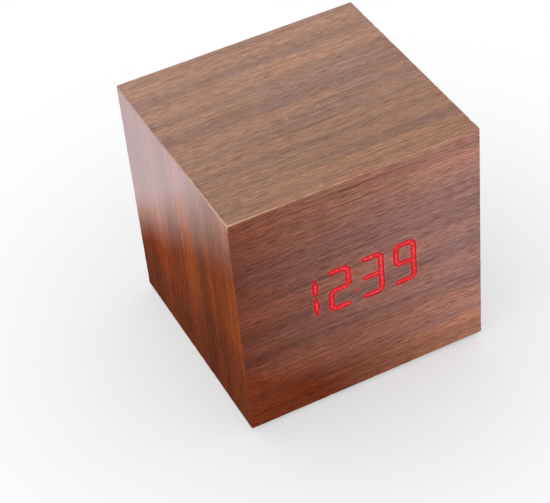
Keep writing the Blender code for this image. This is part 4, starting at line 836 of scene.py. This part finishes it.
def sheet_form(sheet, grid, loops, marks=None):
    """A closed sheet over the loops of a cut grid, with how near each point is to an edge."""
    axis, side = SHEETS[sheet][:2]
    u_axis, v_axis = face_axes(axis)
    thick = bpy.context.scene.clock_veneer.thickness
    form = bmesh.new()
    edge = form.verts.layers.float.new("edge")
    layers = {name: form.verts.layers.float.new(name) for name in (marks or {})}
    outer, inner = {}, {}
    for place in sorted({place for loop in loops for place in loop}):
        point = Vector((0, 0, 0))
        point[u_axis], point[v_axis] = grid.points[place]
        point[axis] = CASE_HIGH[axis] if side > 0 else CASE_LOW[axis]
        for made, where in ((outer, worn_surface(point, axis)), (inner, inside_case(point, thick))):
            vert = form.verts.new(where)
            vert[edge] = max(0.0, 1 - nearest_edge(point, axis) / EDGE_REACH)
            for name, layer in layers.items():
                vert[layer] = marks[name](point)
            made[place] = vert
    sides = set()
    for loop in loops:
        form.faces.new([outer[place] for place in loop])
        form.faces.new([inner[place] for place in reversed(loop)])
        sides.update(zip(loop, loop[1:] + loop[:1]))
    for one, other in sorted(sides):
        if (other, one) not in sides:
            form.faces.new([outer[other], outer[one], inner[one], inner[other]])
    return form


def plain_sheet(sheet):
    grid = CutGrid(*(axis_lines(axis) for axis in face_axes(SHEETS[sheet][0])))
    return sheet_form(sheet, grid, grid.outside)


def window_sheet(sheet, node, corner):
    """A sheet with a window, its corners rounded, round the part that lies in it."""
    axes = face_axes(SHEETS[sheet][0])
    corner += WINDOW_FIT
    low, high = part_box(node)
    middle = [(low[k] + high[k]) / 2 for k in axes]
    half = [(high[k] - low[k]) / 2 + WINDOW_FIT for k in axes]

    def signed(*point):
        away = [abs(value - centre) - (size - corner) for value, centre, size in zip(point, middle, half)]
        return math.hypot(max(away[0], 0.0), max(away[1], 0.0)) + min(max(away), 0.0) - corner

    lines = []
    for k, centre, size in zip(axes, middle, half):
        reach, rim = size + WINDOW_STEP, EDGE_LINES[-1]
        fine = (max(centre - reach, CASE_LOW[k] + rim + MM), min(centre + reach, CASE_HIGH[k] - rim - MM))
        lines.append(axis_lines(k, fine, WINDOW_STEP))
    grid = CutGrid(*lines, signed)
    return sheet_form(sheet, grid, grid.outside)


def segment_distance(x, z, start, end):
    """Distance from (x, z) to the line between two points, and how far along it that is."""
    along_x, along_z = end[0] - start[0], end[1] - start[1]
    size = along_x * along_x + along_z * along_z
    share = held(((x - start[0]) * along_x + (z - start[1]) * along_z) / size)
    return math.hypot(x - start[0] - share * along_x, z - start[1] - share * along_z), share


def upright(segment):
    start, end = SEGMENT_SHARES[segment]
    return start[0] == end[0]


def digit_strokes(node):
    """The two ends of each lit stroke of a digit in X and Z on the front."""
    digits, lit = bpy.context.scene.clock_digits, DIGITS[node]
    x, _, z = middle_of(node)
    strokes, corners = [], {}
    for segment in lit:
        ends = SEGMENT_SHARES[segment]
        reach = digits.height / 2 if upright(segment) else digits.width
        strokes.append([])
        for share, far in (ends, ends[::-1]):
            meeting = [upright(other) for other in lit if share in SEGMENT_SHARES[other]]
            turning = sorted(meeting) == [False, True]
            cut = (digits.corner if turning else digits.gap) / reach
            u, v = (near + (other - near) * cut for near, other in zip(share, far))
            end = (x + u * digits.width / 2, z + v * digits.height / 2)
            strokes[-1].append(end)
            if turning:
                corners.setdefault(share, []).append(end)
    return strokes + list(corners.values())


class LitFace:
    """How far a point of the front is from the nearest lit stroke or dot."""

    def __init__(self):
        self.digits = bpy.context.scene.clock_digits
        self.strokes = {node: digit_strokes(node) for node in DIGITS}
        x, _, z = middle_of("colon_light")
        self.dots = [(x, z + side * self.digits.dot_spacing / 2) for side in (-1, 1)]

    def to_digit(self, node, x, z):
        """Signed distance to a digit, whose long strokes narrow to their tips, the 1's most of all."""
        half = self.digits.stroke / 2
        pinch = 0.62 if len(self.strokes[node]) == 2 else 0.1
        least = 1.0
        for start, end in self.strokes[node]:
            away, share = segment_distance(x, z, start, end)
            size = math.dist(start, end)
            if size > 2 * self.digits.corner:
                tip = min(share, 1 - share) * size
                away += pinch * half * max(0.0, 1 - tip / (2.2 * half))
            least = min(least, away - half)
        return least

    def to_dots(self, x, z):
        return min(math.hypot(x - u, z - v) for u, v in self.dots) - self.digits.dot

    def nearest(self, x, z):
        """The node whose light is nearest, and how far off it is along the ragged fibres."""
        away = {node: self.to_digit(node, x, z) for node in self.strokes}
        away["colon_light"] = self.to_dots(x, z)
        node = min(away, key=away.get)
        fibre = noise.noise(Vector((x / (1.1 * MM), 0.0, z / (0.45 * MM))))
        return node, away[node] + fibre * 0.17 * MM

    def signed(self, z, x):
        return self.nearest(x, z)[1]

    def glow(self, point):
        node, away = self.nearest(point.x, point.z)
        share = COLON_GLOW if node == "colon_light" else 1.0
        return share * math.exp(-max(0.0, away) / (0.38 * self.digits.halo))

    def lit_depth(self, point):
        node, away = self.nearest(point.x, point.z)
        reach = self.digits.dot if node == "colon_light" else 0.42 * self.digits.stroke
        return held(-away / reach)


def guide_behind(form, node, front):
    """Adds a digit's light guide to a form, with its lit bars ending behind the veneer."""
    guide = bmesh.new()
    guide.from_mesh(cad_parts[node].data)
    bmesh.ops.remove_doubles(guide, verts=guide.verts, dist=0.001 * MM)
    for vert in guide.verts:
        vert.co.y = max(vert.co.y, front)
    mesh = mesh_of(f"{node}_behind", guide)
    skin = len(form.faces)
    form.from_mesh(mesh)
    bpy.data.meshes.remove(mesh)
    form.faces.ensure_lookup_table()
    for face in form.faces[skin:]:
        face.material_index = 1


def display_lines():
    """The front's grid, fine over the digits."""
    boxes = [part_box(node) for node in (*DIGITS, "colon_light")]
    lines = []
    for axis in (2, 0):
        low = min(low[axis] for low, _ in boxes) - DISPLAY_REACH
        high = max(high[axis] for _, high in boxes) + DISPLAY_REACH
        lines.append(axis_lines(axis, (low, high)))
    return lines


MARK_EASING = 0.04 * MM


def join_rings(form, rings):
    """Adds the faces between each ring of corners and the next, where a ring may be one corner."""
    for one, other in zip(rings, rings[1:]):
        for step in range(max(len(one), len(other))):
            after = step + 1
            corners = [one[step % len(one)], one[after % len(one)]]
            corners += [other[after % len(other)], other[step % len(other)]]
            form.faces.new(list(dict.fromkeys(corners)))


def lathe(form, profile, place, way, sides=48):
    """Adds a turned shape to a form. profile lists radius and height, closed at both ends on the axis."""
    turn = Vector(way).to_track_quat("Z", "Y").to_matrix()
    turns = [2 * math.pi * step / sides for step in range(sides)]
    rings = []
    for radius, height in profile:
        points = [(radius * math.cos(a), radius * math.sin(a), height) for a in turns]
        points = points if radius else [(0, 0, height)]
        rings.append([form.verts.new(Vector(place) + turn @ Vector(point)) for point in points])
    join_rings(form, rings)
    return form


def tube(form, inner, outer, low, high, place, way):
    """Adds a short sleeve with eased lips to a form."""
    lip = MARK_EASING
    profile = [(inner, low + lip), (inner + lip, low), (outer - lip, low), (outer, low + lip)]
    profile += [(outer, high - lip), (outer - lip, high), (inner + lip, high), (inner, high - lip)]
    first = len(form.verts)
    lathe(form, profile + profile[:1], place, way)
    bmesh.ops.remove_doubles(form, verts=form.verts[:][first:], dist=0.001 * MM)
    return form


def raised_mark(form, outline, low, high, axis):
    """Adds a flat mark with an eased outer rim. outline is in the two axes after axis, in turn."""
    middle = [sum(point[k] for point in outline) / len(outline) for k in (0, 1)]
    shoulder = high - math.copysign(MARK_EASING, high - low)
    rings = []
    for height, less in ((low, 0.0), (shoulder, 0.0), (high, MARK_EASING)):
        ring = []
        for point in outline:
            size = 1 - less / math.dist(point, middle)
            corner = Vector((0, 0, 0))
            corner[axis] = height
            for k in (0, 1):
                corner[(axis + 1 + k) % 3] = middle[k] + (point[k] - middle[k]) * size
            ring.append(form.verts.new(corner))
        rings.append(ring)
    join_rings(form, rings)
    form.faces.new(rings[0][::-1])
    form.faces.new(rings[-1])
    return form


def arrow(middle, size, way):
    """Corners of a three-cornered arrow, each cut a little, that points up or down."""
    corners = [(0.0, 0.62), (0.54, -0.36), (-0.54, -0.36)]
    points = []
    for place, corner in enumerate(corners):
        for other in (corners[place - 1], corners[(place + 1) % 3]):
            points.append([c + (o - c) * 0.14 for c, o in zip(corner, other)])
    return [(middle[0] + size * u, middle[1] + way * size * v) for u, v in points]


class NodeTree:
    """A Geometry Nodes tree with named inputs, run once on an empty mesh."""

    def __init__(self, name, inputs):
        self.tree = bpy.data.node_groups.new(name, "GeometryNodeTree")
        self.sockets = {}
        self.tree.interface.new_socket("Geometry", in_out="INPUT", socket_type="NodeSocketGeometry")
        for key, kind in inputs.items():
            item = self.tree.interface.new_socket(key, in_out="INPUT", socket_type=f"NodeSocket{kind}")
            self.sockets[key] = item.identifier
        self.tree.interface.new_socket("Geometry", in_out="OUTPUT", socket_type="NodeSocketGeometry")
        given = self.tree.nodes.new("NodeGroupInput")
        self.given = [given.outputs[key] for key in inputs]

    def add(self, *request, **more):
        return new_node(self.tree, *request, **more)

    def end(self, shape, material):
        """Closes the tree: instances made real, then the material set."""
        real = self.add("GeometryNodeRealizeInstances", {"Geometry": shape})
        done = self.add("GeometryNodeSetMaterial", {"Geometry": real, "Material": material})
        self.tree.links.new(done, self.tree.nodes.new("NodeGroupOutput").inputs[0])
        return self

    def run(self, name, values):
        """The tree's result as a plain mesh object that rides on the case."""
        holder = add_object(f"{name}_holder", bpy.data.meshes.new(f"{name}_holder"))
        modifier = holder.modifiers.new("tree", "NODES")
        modifier.node_group = self.tree
        for key, value in values.items():
            modifier[self.sockets[key]] = value
        graph = bpy.context.evaluated_depsgraph_get()
        mesh = bpy.data.meshes.new_from_object(holder.evaluated_get(graph), depsgraph=graph)
        bpy.data.objects.remove(holder)
        piece = add_object(name, mesh)
        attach(piece, BODY)
        return piece


def bump_tree(material):
    """Small domes set out in rows under a round foot."""
    inputs = {"Radius": "Float", "Spacing": "Float", "Bump": "Float", "Place": "Vector"}
    tree = NodeTree("foot_bumps", inputs)
    radius, spacing, bump, place = tree.given
    size = tree.add("ShaderNodeMath", {0: radius, 1: 2.0}, operation="MULTIPLY")
    count = tree.add("ShaderNodeMath", {0: size, 1: spacing}, operation="DIVIDE")
    sockets = {"Size X": size, "Size Y": size, "Vertices X": count, "Vertices Y": count}
    grid = tree.add("GeometryNodeMeshGrid", sockets)
    at = tree.add("GeometryNodeInputPosition")
    away = tree.add("ShaderNodeVectorMath", {0: at}, "Value", operation="LENGTH")
    past = tree.add("FunctionNodeCompare", {0: away, 1: radius}, operation="GREATER_THAN")
    kept = tree.add("GeometryNodeDeleteGeometry", {"Geometry": grid, "Selection": past}, domain="POINT")
    dome = tree.add("GeometryNodeMeshIcoSphere", {"Radius": bump, "Subdivisions": 2})
    flat = tree.add("GeometryNodeTransform", {"Geometry": dome, "Scale": (1.0, 1.0, 0.55)})
    smooth = tree.add("GeometryNodeSetShadeSmooth", {"Geometry": flat})
    bumps = tree.add("GeometryNodeInstanceOnPoints", {"Points": kept, "Instance": smooth})
    moved = tree.add("GeometryNodeTransform", {"Geometry": bumps, "Translation": place})
    return tree.end(moved, material)


def flake_tree(material):
    """Small splinters of bare wood strewn along an edge between two points."""
    inputs = {"Start": "Vector", "End": "Vector", "Count": "Int"}
    inputs |= {"Size": "Float", "Spread": "Float", "Seed": "Int"}
    tree = NodeTree("edge_flakes", inputs)
    start, end, count, size, spread, seed = tree.given
    sockets = {"Count": count, "Start Location": start, "Offset": end}
    line = tree.add("GeometryNodeMeshLine", sockets, mode="END_POINTS")
    most = tree.add("ShaderNodeVectorMath", {0: (1.0, 1.0, 1.0), "Scale": spread}, operation="SCALE")
    least = tree.add("ShaderNodeVectorMath", {0: most, "Scale": -1.0}, operation="SCALE")
    sockets = {0: least, 1: most, "Seed": seed}
    drift = tree.add("FunctionNodeRandomValue", sockets, data_type="FLOAT_VECTOR")
    strewn = tree.add("GeometryNodeSetPosition", {"Geometry": line, "Offset": drift})
    flake = tree.add("GeometryNodeMeshIcoSphere", {"Radius": size, "Subdivisions": 2})
    sockets = {0: (0.3, 0.2, 0.2), 1: (2.2, 0.5, 0.5), "Seed": seed}
    scale = tree.add("FunctionNodeRandomValue", sockets, data_type="FLOAT_VECTOR")
    sockets = {"Points": strewn, "Instance": flake, "Scale": scale}
    return tree.end(tree.add("GeometryNodeInstanceOnPoints", sockets), material)


def lay_sheet(node, form):
    piece = new_piece(f"{node}_sheet", form, [veneer_finish(node)])
    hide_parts(node)


class CLOCK_OT_wrap(bpy.types.Operator):
    """Lays the veneers of the top, bottom, left, right and back round the case"""

    bl_idname = "clock.wrap"
    bl_label = "Wrap Veneers"

    def execute(self, context):
        for node in ("top_veneer", "left_veneer", "right_veneer"):
            lay_sheet(node, plain_sheet(node))
        lay_sheet("bottom_veneer", window_sheet("bottom_veneer", "battery_tray", 2.0 * MM))
        lay_sheet("back_veneer", window_sheet("back_veneer", "rear_control_plate", 3.0 * MM))
        return {"FINISHED"}


class CLOCK_OT_front(bpy.types.Operator):
    """Lays the front veneer with the lit digits in it"""

    bl_idname = "clock.front"
    bl_label = "Front and Digits"

    def execute(self, context):
        lit = LitFace()
        grid = CutGrid(*display_lines(), lit.signed)
        lay_sheet("front_veneer", sheet_form("front_veneer", grid, grid.outside, {"glow": lit.glow}))
        shared = {node: [] for node in (*DIGITS, "colon_light")}
        for loop in grid.inside:
            z, x = (sum(grid.points[place][k] for place in loop) / len(loop) for k in (0, 1))
            shared[lit.nearest(x, z)[0]].append(loop)
        bright, dim = lit_finish("lit_wood", 1.0), lit_finish("lit_wood_dim", 0.58)
        behind = sleeve_finish("light_guide", (0.55, 0.12, 0.11), 1)
        for node, loops in shared.items():
            form = sheet_form("front_veneer", grid, loops, {"lit_depth": lit.lit_depth})
            guide_behind(form, node, CASE_LOW.y + context.scene.clock_veneer.thickness + 0.05 * MM)
            piece = new_piece(f"lit_{node}", form, [bright if node in DIGITS else dim, behind])
            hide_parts(node)
        return {"FINISHED"}


class CLOCK_OT_boards(bpy.types.Operator):
    """Gives the fibre boards under the veneers their finish"""

    bl_idname = "clock.boards"
    bl_label = "Fibre Boards"

    def execute(self, context):
        dress(fibreboard_finish(), *(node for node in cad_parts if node.endswith("_panel")))
        return {"FINISHED"}


MARK_ROOT = 0.2 * MM
ARROW_SIZE = 1.55 * MM
RING_INNER, RING_OUTER = 0.5 * MM, 0.82 * MM
DOOR_ARROW_SIZE, DOOR_ARROW_BACK = 3.4 * MM, 4.0 * MM
FOOT_EASING = 0.28 * MM
FOOT_GROUND = 0.08 * MM
FLAKE_INSET = 0.17 * MM
OUT_OF_BACK = (0, 1, 0)


def scaled(profile):
    """A profile written in millimetres as one in metres."""
    return [(radius * MM, height * MM) for radius, height in profile]


class CLOCK_OT_controls(bpy.types.Operator):
    """Finishes the rear plate, its buttons, socket and microphone hole"""

    bl_idname = "clock.controls"
    bl_label = "Rear Controls"

    def execute(self, context):
        hardware = context.scene.clock_hardware
        dress(black_finish("black_plate"), "rear_control_plate", "dc_socket", "microphone")
        dress(black_finish("black_caps", 0.1, 0.36, 0.5), "set_button", "up_button", "down_button")
        print_mark = moulded_finish("pale_mark", (0.62, 0.62, 0.6), (0.42, 0.42, 0.41), 0.12, 0.45)
        for name, way in (("set", 0), ("up", 1), ("down", -1)):
            x, _, z = middle_of(f"{name}_button")
            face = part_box(f"{name}_button")[1].y
            form = bmesh.new()
            if way:
                outline = [(v, u) for u, v in arrow((x, z), ARROW_SIZE, way)]
                raised_mark(form, outline, face - MARK_ROOT, face + hardware.mark_height, 1)
            else:
                tall, place = hardware.mark_height + MARK_ROOT, (x, face - MARK_ROOT, z)
                tube(form, RING_INNER, RING_OUTER, 0.0, tall, place, OUT_OF_BACK)
            piece = new_piece(f"{name}_mark", form, [print_mark], f"{name}_push_button")
        metal = metal_finish("socket_nickel", hardware.steel, 1, 0.22)
        new_piece("socket_contacts", self.socket_form(), [metal])
        new_piece("microphone_gauze", self.gauze_form(), [metal])
        return {"FINISHED"}

    def socket_form(self):
        """A sprung sleeve and a rounded pin inside the socket, measured back from its mouth."""
        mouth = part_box("dc_socket")[1].y
        x, _, z = middle_of("dc_socket")
        form = bmesh.new()
        inner, outer, root, lip = 1.66 * MM, 1.82 * MM, 5.6 * MM, 0.2 * MM
        tube(form, inner, outer, mouth - root, mouth - lip, (x, 0, z), OUT_OF_BACK)
        pin, root, tip = 0.70, -6.3, -0.85
        profile = [(0, root), (pin, root)]
        profile += [(pin * math.cos(a), tip - pin / 2 * (1 - math.sin(a))) for a in (0, 0.4, 0.8, 1.2)]
        return lathe(form, scaled(profile + [(0, tip)]), (x, mouth, z), OUT_OF_BACK)

    def gauze_form(self):
        """A disc of fine wire cloth across the microphone's hole."""
        x, _, z = middle_of("microphone")
        place = (x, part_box("rear_control_plate")[1].y - 1.1 * MM, z)
        profile = [(0, 0), (0.52, 0), (0.55, 0.03), (0.55, 0.07), (0.5, 0.1), (0, 0.1)]
        return lathe(bmesh.new(), scaled(profile), place, OUT_OF_BACK)


class CLOCK_OT_battery_bay(bpy.types.Operator):
    """Finishes the battery tray, its door, contacts and cells"""

    bl_idname = "clock.battery_bay"
    bl_label = "Battery Bay"

    def execute(self, context):
        hardware = context.scene.clock_hardware
        dress(black_finish("black_tray", 0.2, 0.55), "battery_tray")
        door = black_finish("black_door", 0.22, 0.52)
        dress(door, "battery_door")
        contacts = metal_finish("contact_plate", hardware.steel, 2, 0.26)
        screws = metal_finish("screw_zinc", darker(hardware.steel, 0.9), 2, 0.3, 0.5)
        for mark, metal in (("_contact", contacts), ("_screw_", screws)):
            dress(metal, *(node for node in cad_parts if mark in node))
        for cell in ("battery_1", "battery_2", "battery_3"):
            self.make_cell(cell)
        x, y, _ = middle_of("battery_door")
        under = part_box("battery_door")[0].z
        outline = arrow((x, y + DOOR_ARROW_BACK), DOOR_ARROW_SIZE, -1)
        form = raised_mark(bmesh.new(), outline, under + 0.3 * MM, under - hardware.mark_height, 2)
        new_piece("door_arrow", form, [door], "bay_door")
        return {"FINISHED"}

    def make_cell(self, cell):
        """A turned cell whose sleeve curls over its ends, with a dished base and a rounded nub.

        Its outline lists radius and height in millimetres from the base.
        """
        low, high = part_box(cell)
        _, y, z = middle_of(cell)
        radius, long = (high.z - low.z) / 2 / MM, (high.x - low.x) / MM
        right = low.x + high.x > 0
        base = [(0, 0.12), (3.2, 0.12), (3.45, 0), (4.3, 0), (4.5, 0.14), (4.7, 0.2), (4.85, 0.06)]
        curl = [(radius - 0.15, 0.14), (radius - 0.03, 0.3), (radius, 0.5)]
        over = [(r, long - 0.86 - height) for r, height in curl[::-1]]
        crimp = [(4.9, 43.5), (4.75, 43.42), (4.55, 43.3), (4.3, 43.36), (4.1, 43.6), (3.9, 43.7)]
        crimp += [(2.5, 43.7), (2.3, 43.62)]
        nub = [(1.9, long - 0.84), (1.9, long - 0.25), (1.84, long - 0.08), (1.68, long), (0, long)]
        profile = scaled(base + curl + over + crimp + nub)
        place, way = ((low.x, y, z), (1, 0, 0)) if right else ((high.x, y, z), (-1, 0, 0))
        form = lathe(bmesh.new(), profile, place, way, 64)
        piece = new_piece(f"{cell}_cell", form, [cell_finish(cell)], smooth=35)
        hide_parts(cell)


class CLOCK_OT_feet(bpy.types.Operator):
    """Replaces the four feet with softly rounded pads that have grip bumps"""

    bl_idname = "clock.feet"
    bl_label = "Feet"

    def execute(self, context):
        hardware = context.scene.clock_hardware
        rubber = moulded_finish("foot_rubber", hardware.rubber, (0.09, 0.088, 0.085), 0.12, 0.78, 0.3)
        tree = bump_tree(rubber)
        turns = [math.pi / 2 * step / 5 for step in range(6)]
        for node in (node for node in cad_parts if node.startswith("foot_")):
            low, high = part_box(node)
            x, y, _ = middle_of(node)
            radius = (high.x - low.x) / 2
            rim, rise = radius - FOOT_EASING, FOOT_GROUND + FOOT_EASING
            profile = [(0, 0.12 * MM), (radius - 2.2 * FOOT_EASING, 0.10 * MM)]
            profile += [(rim + FOOT_EASING * math.sin(a), rise - FOOT_EASING * math.cos(a)) for a in turns]
            profile += [(radius - 0.05 * MM, high.z), (0, high.z)]
            form = lathe(bmesh.new(), profile, (x, y, 0.0), (0, 0, 1), 64)
            pad = new_piece(f"{node}_pad", form, [rubber])
            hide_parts(node)
            values = {"Radius": radius - 2.4 * FOOT_EASING, "Spacing": hardware.foot_bump}
            values |= {"Bump": 0.2 * MM, "Place": (x, y, 0.11 * MM)}
            tree.run(f"{node}_bumps", values)
        return {"FINISHED"}


class CLOCK_OT_edge_flakes(bpy.types.Operator):
    """Strews splinters of bare wood along the most worn edges"""

    bl_idname = "clock.edge_flakes"
    bl_label = "Edge Flakes"

    def execute(self, context):
        worn = context.scene.clock_veneer.worn
        recipe = Recipe("bare_wood")
        x, y, z = recipe.axes
        grain = recipe.strands(x * 0.6, y * 5, z * 5, 3.0, 0.6)
        tree = flake_tree(recipe.finish(
            Base_Color=recipe.blend(grain, worn, darker(worn, 0.55)),
            Roughness=grain * 0.1 + 0.7,
            Normal=recipe.bump(grain, 0.02 * MM),
        ))
        low, high = inside_case(CASE_LOW, FLAKE_INSET), inside_case(CASE_HIGH, FLAKE_INSET)
        runs = {
            "front_top": ((low.x + MM, low.y, high.z), (high.x - MM, low.y, high.z), 46, 5),
            "front_left": ((low.x, low.y, low.z + 2 * MM), (low.x, low.y, low.z + 30 * MM), 16, 9),
            "left_top": ((low.x, low.y + MM, high.z), (low.x, high.y - 12 * MM, high.z), 14, 13),
        }
        for name, (start, end, count, seed) in runs.items():
            values = {"Start": start, "End": end, "Count": count, "Seed": seed}
            values |= {"Size": 0.09 * MM, "Spread": 0.05 * MM}
            tree.run(f"{name}_flakes", values)
        return {"FINISHED"}


class CLOCK_OT_electronics(bpy.types.Operator):
    """Finishes the circuit boards and everything mounted on them"""

    bl_idname = "clock.electronics"
    bl_label = "Electronics"

    def execute(self, context):
        hardware = context.scene.clock_hardware
        dress(circuit_finish(), "display_board", "main_board")
        duller = darker(hardware.housing, 0.85)
        dress(moulded_finish("white_housing", hardware.housing, duller, 0.2, 0.5), "display_housing")
        epoxy = moulded_finish("chip_epoxy", (0.018, 0.018, 0.02), (0.06, 0.06, 0.062), 0.08, 0.55)
        dress(epoxy, "microcontroller")
        black = black_finish("black_fittings", 0.14, 0.42)
        dress(black, "set_switch", "up_switch", "down_switch", "buzzer", "backup_cell_clip")
        dress(metal_finish("bright_can", hardware.steel, 0, 0.2, 0.25), "clock_crystal", "backup_cell")
        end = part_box("capacitor")[1].x / MM
        stripe = (0, end - 1.4, end + 1, (0.55, 0.57, 0.6))
        dress(sleeve_finish("capacitor_sleeve", (0.02, 0.03, 0.09), 1, stripe), "capacitor")
        bead = moulded_finish("sensor_bead", (0.02, 0.02, 0.022), (0.07, 0.06, 0.05), 0.1, 0.35)
        dress(bead, "temperature_sensor")
        dress(ribbon_finish(), "ribbon_cable")
        dress(sleeve_finish("red_insulation", (0.44, 0.03, 0.025), 0), "battery_lead_red")
        dress(sleeve_finish("black_insulation", (0.03, 0.03, 0.032), 0), "battery_lead_black")
        return {"FINISHED"}


FLOOR_REACH = 3.0
LAMPS_FACE = Vector((0, 0, 0.03))


class CLOCK_OT_stage(bpy.types.Operator):
    """Sets out the floor, the lamps and the camera"""

    bl_idname = "clock.stage"
    bl_label = "Stage"

    def execute(self, context):
        stage = context.scene.clock_stage
        context.scene.view_settings.view_transform = "Standard"
        lay_floor(stage)
        fill_sky(stage)
        lamp("overhead_lamp", stage.key, (-0.10, 0.32, 0.62), 0.55)
        lamp("left_lamp", stage.fill, (-0.62, -0.12, 0.42), 0.5)
        lamp("front_lamp", stage.front, (0.22, -0.72, 0.22), 0.6)
        data = bpy.data.cameras.new("camera")
        data.lens, data.clip_start, data.clip_end = stage.lens, 0.01, 20
        camera = add_object("camera", data)
        look, right = Vector(stage.look).normalized(), Vector(stage.right).normalized()
        turn = Matrix((right, right.cross(look), -look)).transposed().to_4x4()
        camera.matrix_world = Matrix.Translation(Vector(stage.place)) @ turn
        context.scene.camera = camera
        return {"FINISHED"}


def lay_floor(stage):
    form = bmesh.new()
    bmesh.ops.create_grid(form, x_segments=24, y_segments=24, size=FLOOR_REACH)
    floor = add_object("floor", mesh_of("floor", form))
    recipe = Recipe("floor_card")
    x, y, _ = recipe.axes
    tone = recipe.blend(recipe.cloud(0.4, 3.0) * 0.3, tuple(stage.floor), darker(stage.floor, 0.96))
    card = recipe.add("ShaderNodeBsdfDiffuse", {"Color": tone})
    white = recipe.add("ShaderNodeEmission", {"Color": (1, 1, 1), "Strength": 1.0})
    kinds = ("Camera", "Glossy", "Transmission")
    rays = sum(recipe.add("ShaderNodeLightPath", output=f"Is {kind} Ray") for kind in kinds)
    away = (x * x + y * y) ** 0.5
    own = away.step(40.0, stage.floor_clear / MM) * (1 - stage.floor_own) + stage.floor_own
    share = rays.most(1.0) * own
    mixed = recipe.add("ShaderNodeMixShader", {0: share, 1: card, 2: white})
    floor.data.materials.append(recipe.end(mixed))
    floor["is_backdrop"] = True


def fill_sky(stage):
    world = bpy.data.worlds.new("studio")
    bpy.context.scene.world = world
    world.use_nodes = True
    world.node_tree.nodes.clear()
    sockets = {"Color": (0.93, 0.96, 1.0), "Strength": stage.sky}
    soft = new_node(world.node_tree, "ShaderNodeBackground", sockets)
    new_node(world.node_tree, "ShaderNodeOutputWorld", {"Surface": soft})


def lamp(name, power, place, size):
    """A large soft lamp that faces the clock."""
    data = bpy.data.lights.new(name, "AREA")
    data.energy, data.size, data.shape = power, size, "DISK"
    thing = add_object(name, data)
    thing.location = place
    thing.rotation_euler = (LAMPS_FACE - Vector(place)).to_track_quat("-Z", "Y").to_euler()


class CLOCK_PT_panel(bpy.types.Panel):
    """Lists the steps in the order in which they run"""

    bl_idname = "CLOCK_PT_panel"
    bl_label = "Wooden Digital Clock"
    bl_space_type = "VIEW_3D"
    bl_region_type = "UI"
    bl_category = "Clock"

    def draw(self, context):
        for step in STEPS:
            self.layout.operator(step.bl_idname)
        for name, group in GROUPS.items():
            box = self.layout.box()
            for key in group.__annotations__:
                box.prop(getattr(context.scene, name), key)


STEPS = (
    CLOCK_OT_wrap,
    CLOCK_OT_front,
    CLOCK_OT_boards,
    CLOCK_OT_edge_flakes,
    CLOCK_OT_controls,
    CLOCK_OT_battery_bay,
    CLOCK_OT_feet,
    CLOCK_OT_electronics,
    CLOCK_OT_stage,
)


def register():
    for group in GROUPS.values():
        bpy.utils.register_class(group)
    for name, group in GROUPS.items():
        setattr(bpy.types.Scene, name, PointerProperty(type=group))
    for step in (*STEPS, CLOCK_PT_panel):
        bpy.utils.register_class(step)


def unregister():
    for step in (CLOCK_PT_panel, *reversed(STEPS)):
        bpy.utils.unregister_class(step)
    for name in GROUPS:
        delattr(bpy.types.Scene, name)
    for group in GROUPS.values():
        bpy.utils.unregister_class(group)


def main():
    register()
    for step in STEPS:
        group, name = step.bl_idname.split(".")
        getattr(getattr(bpy.ops, group), name)()
    boxes = {"cad": CAD_BOX, "visual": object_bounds()}
    {name: [list(corner) for corner in box] for name, box in boxes.items()}


if __name__ == "__main__":
    main()
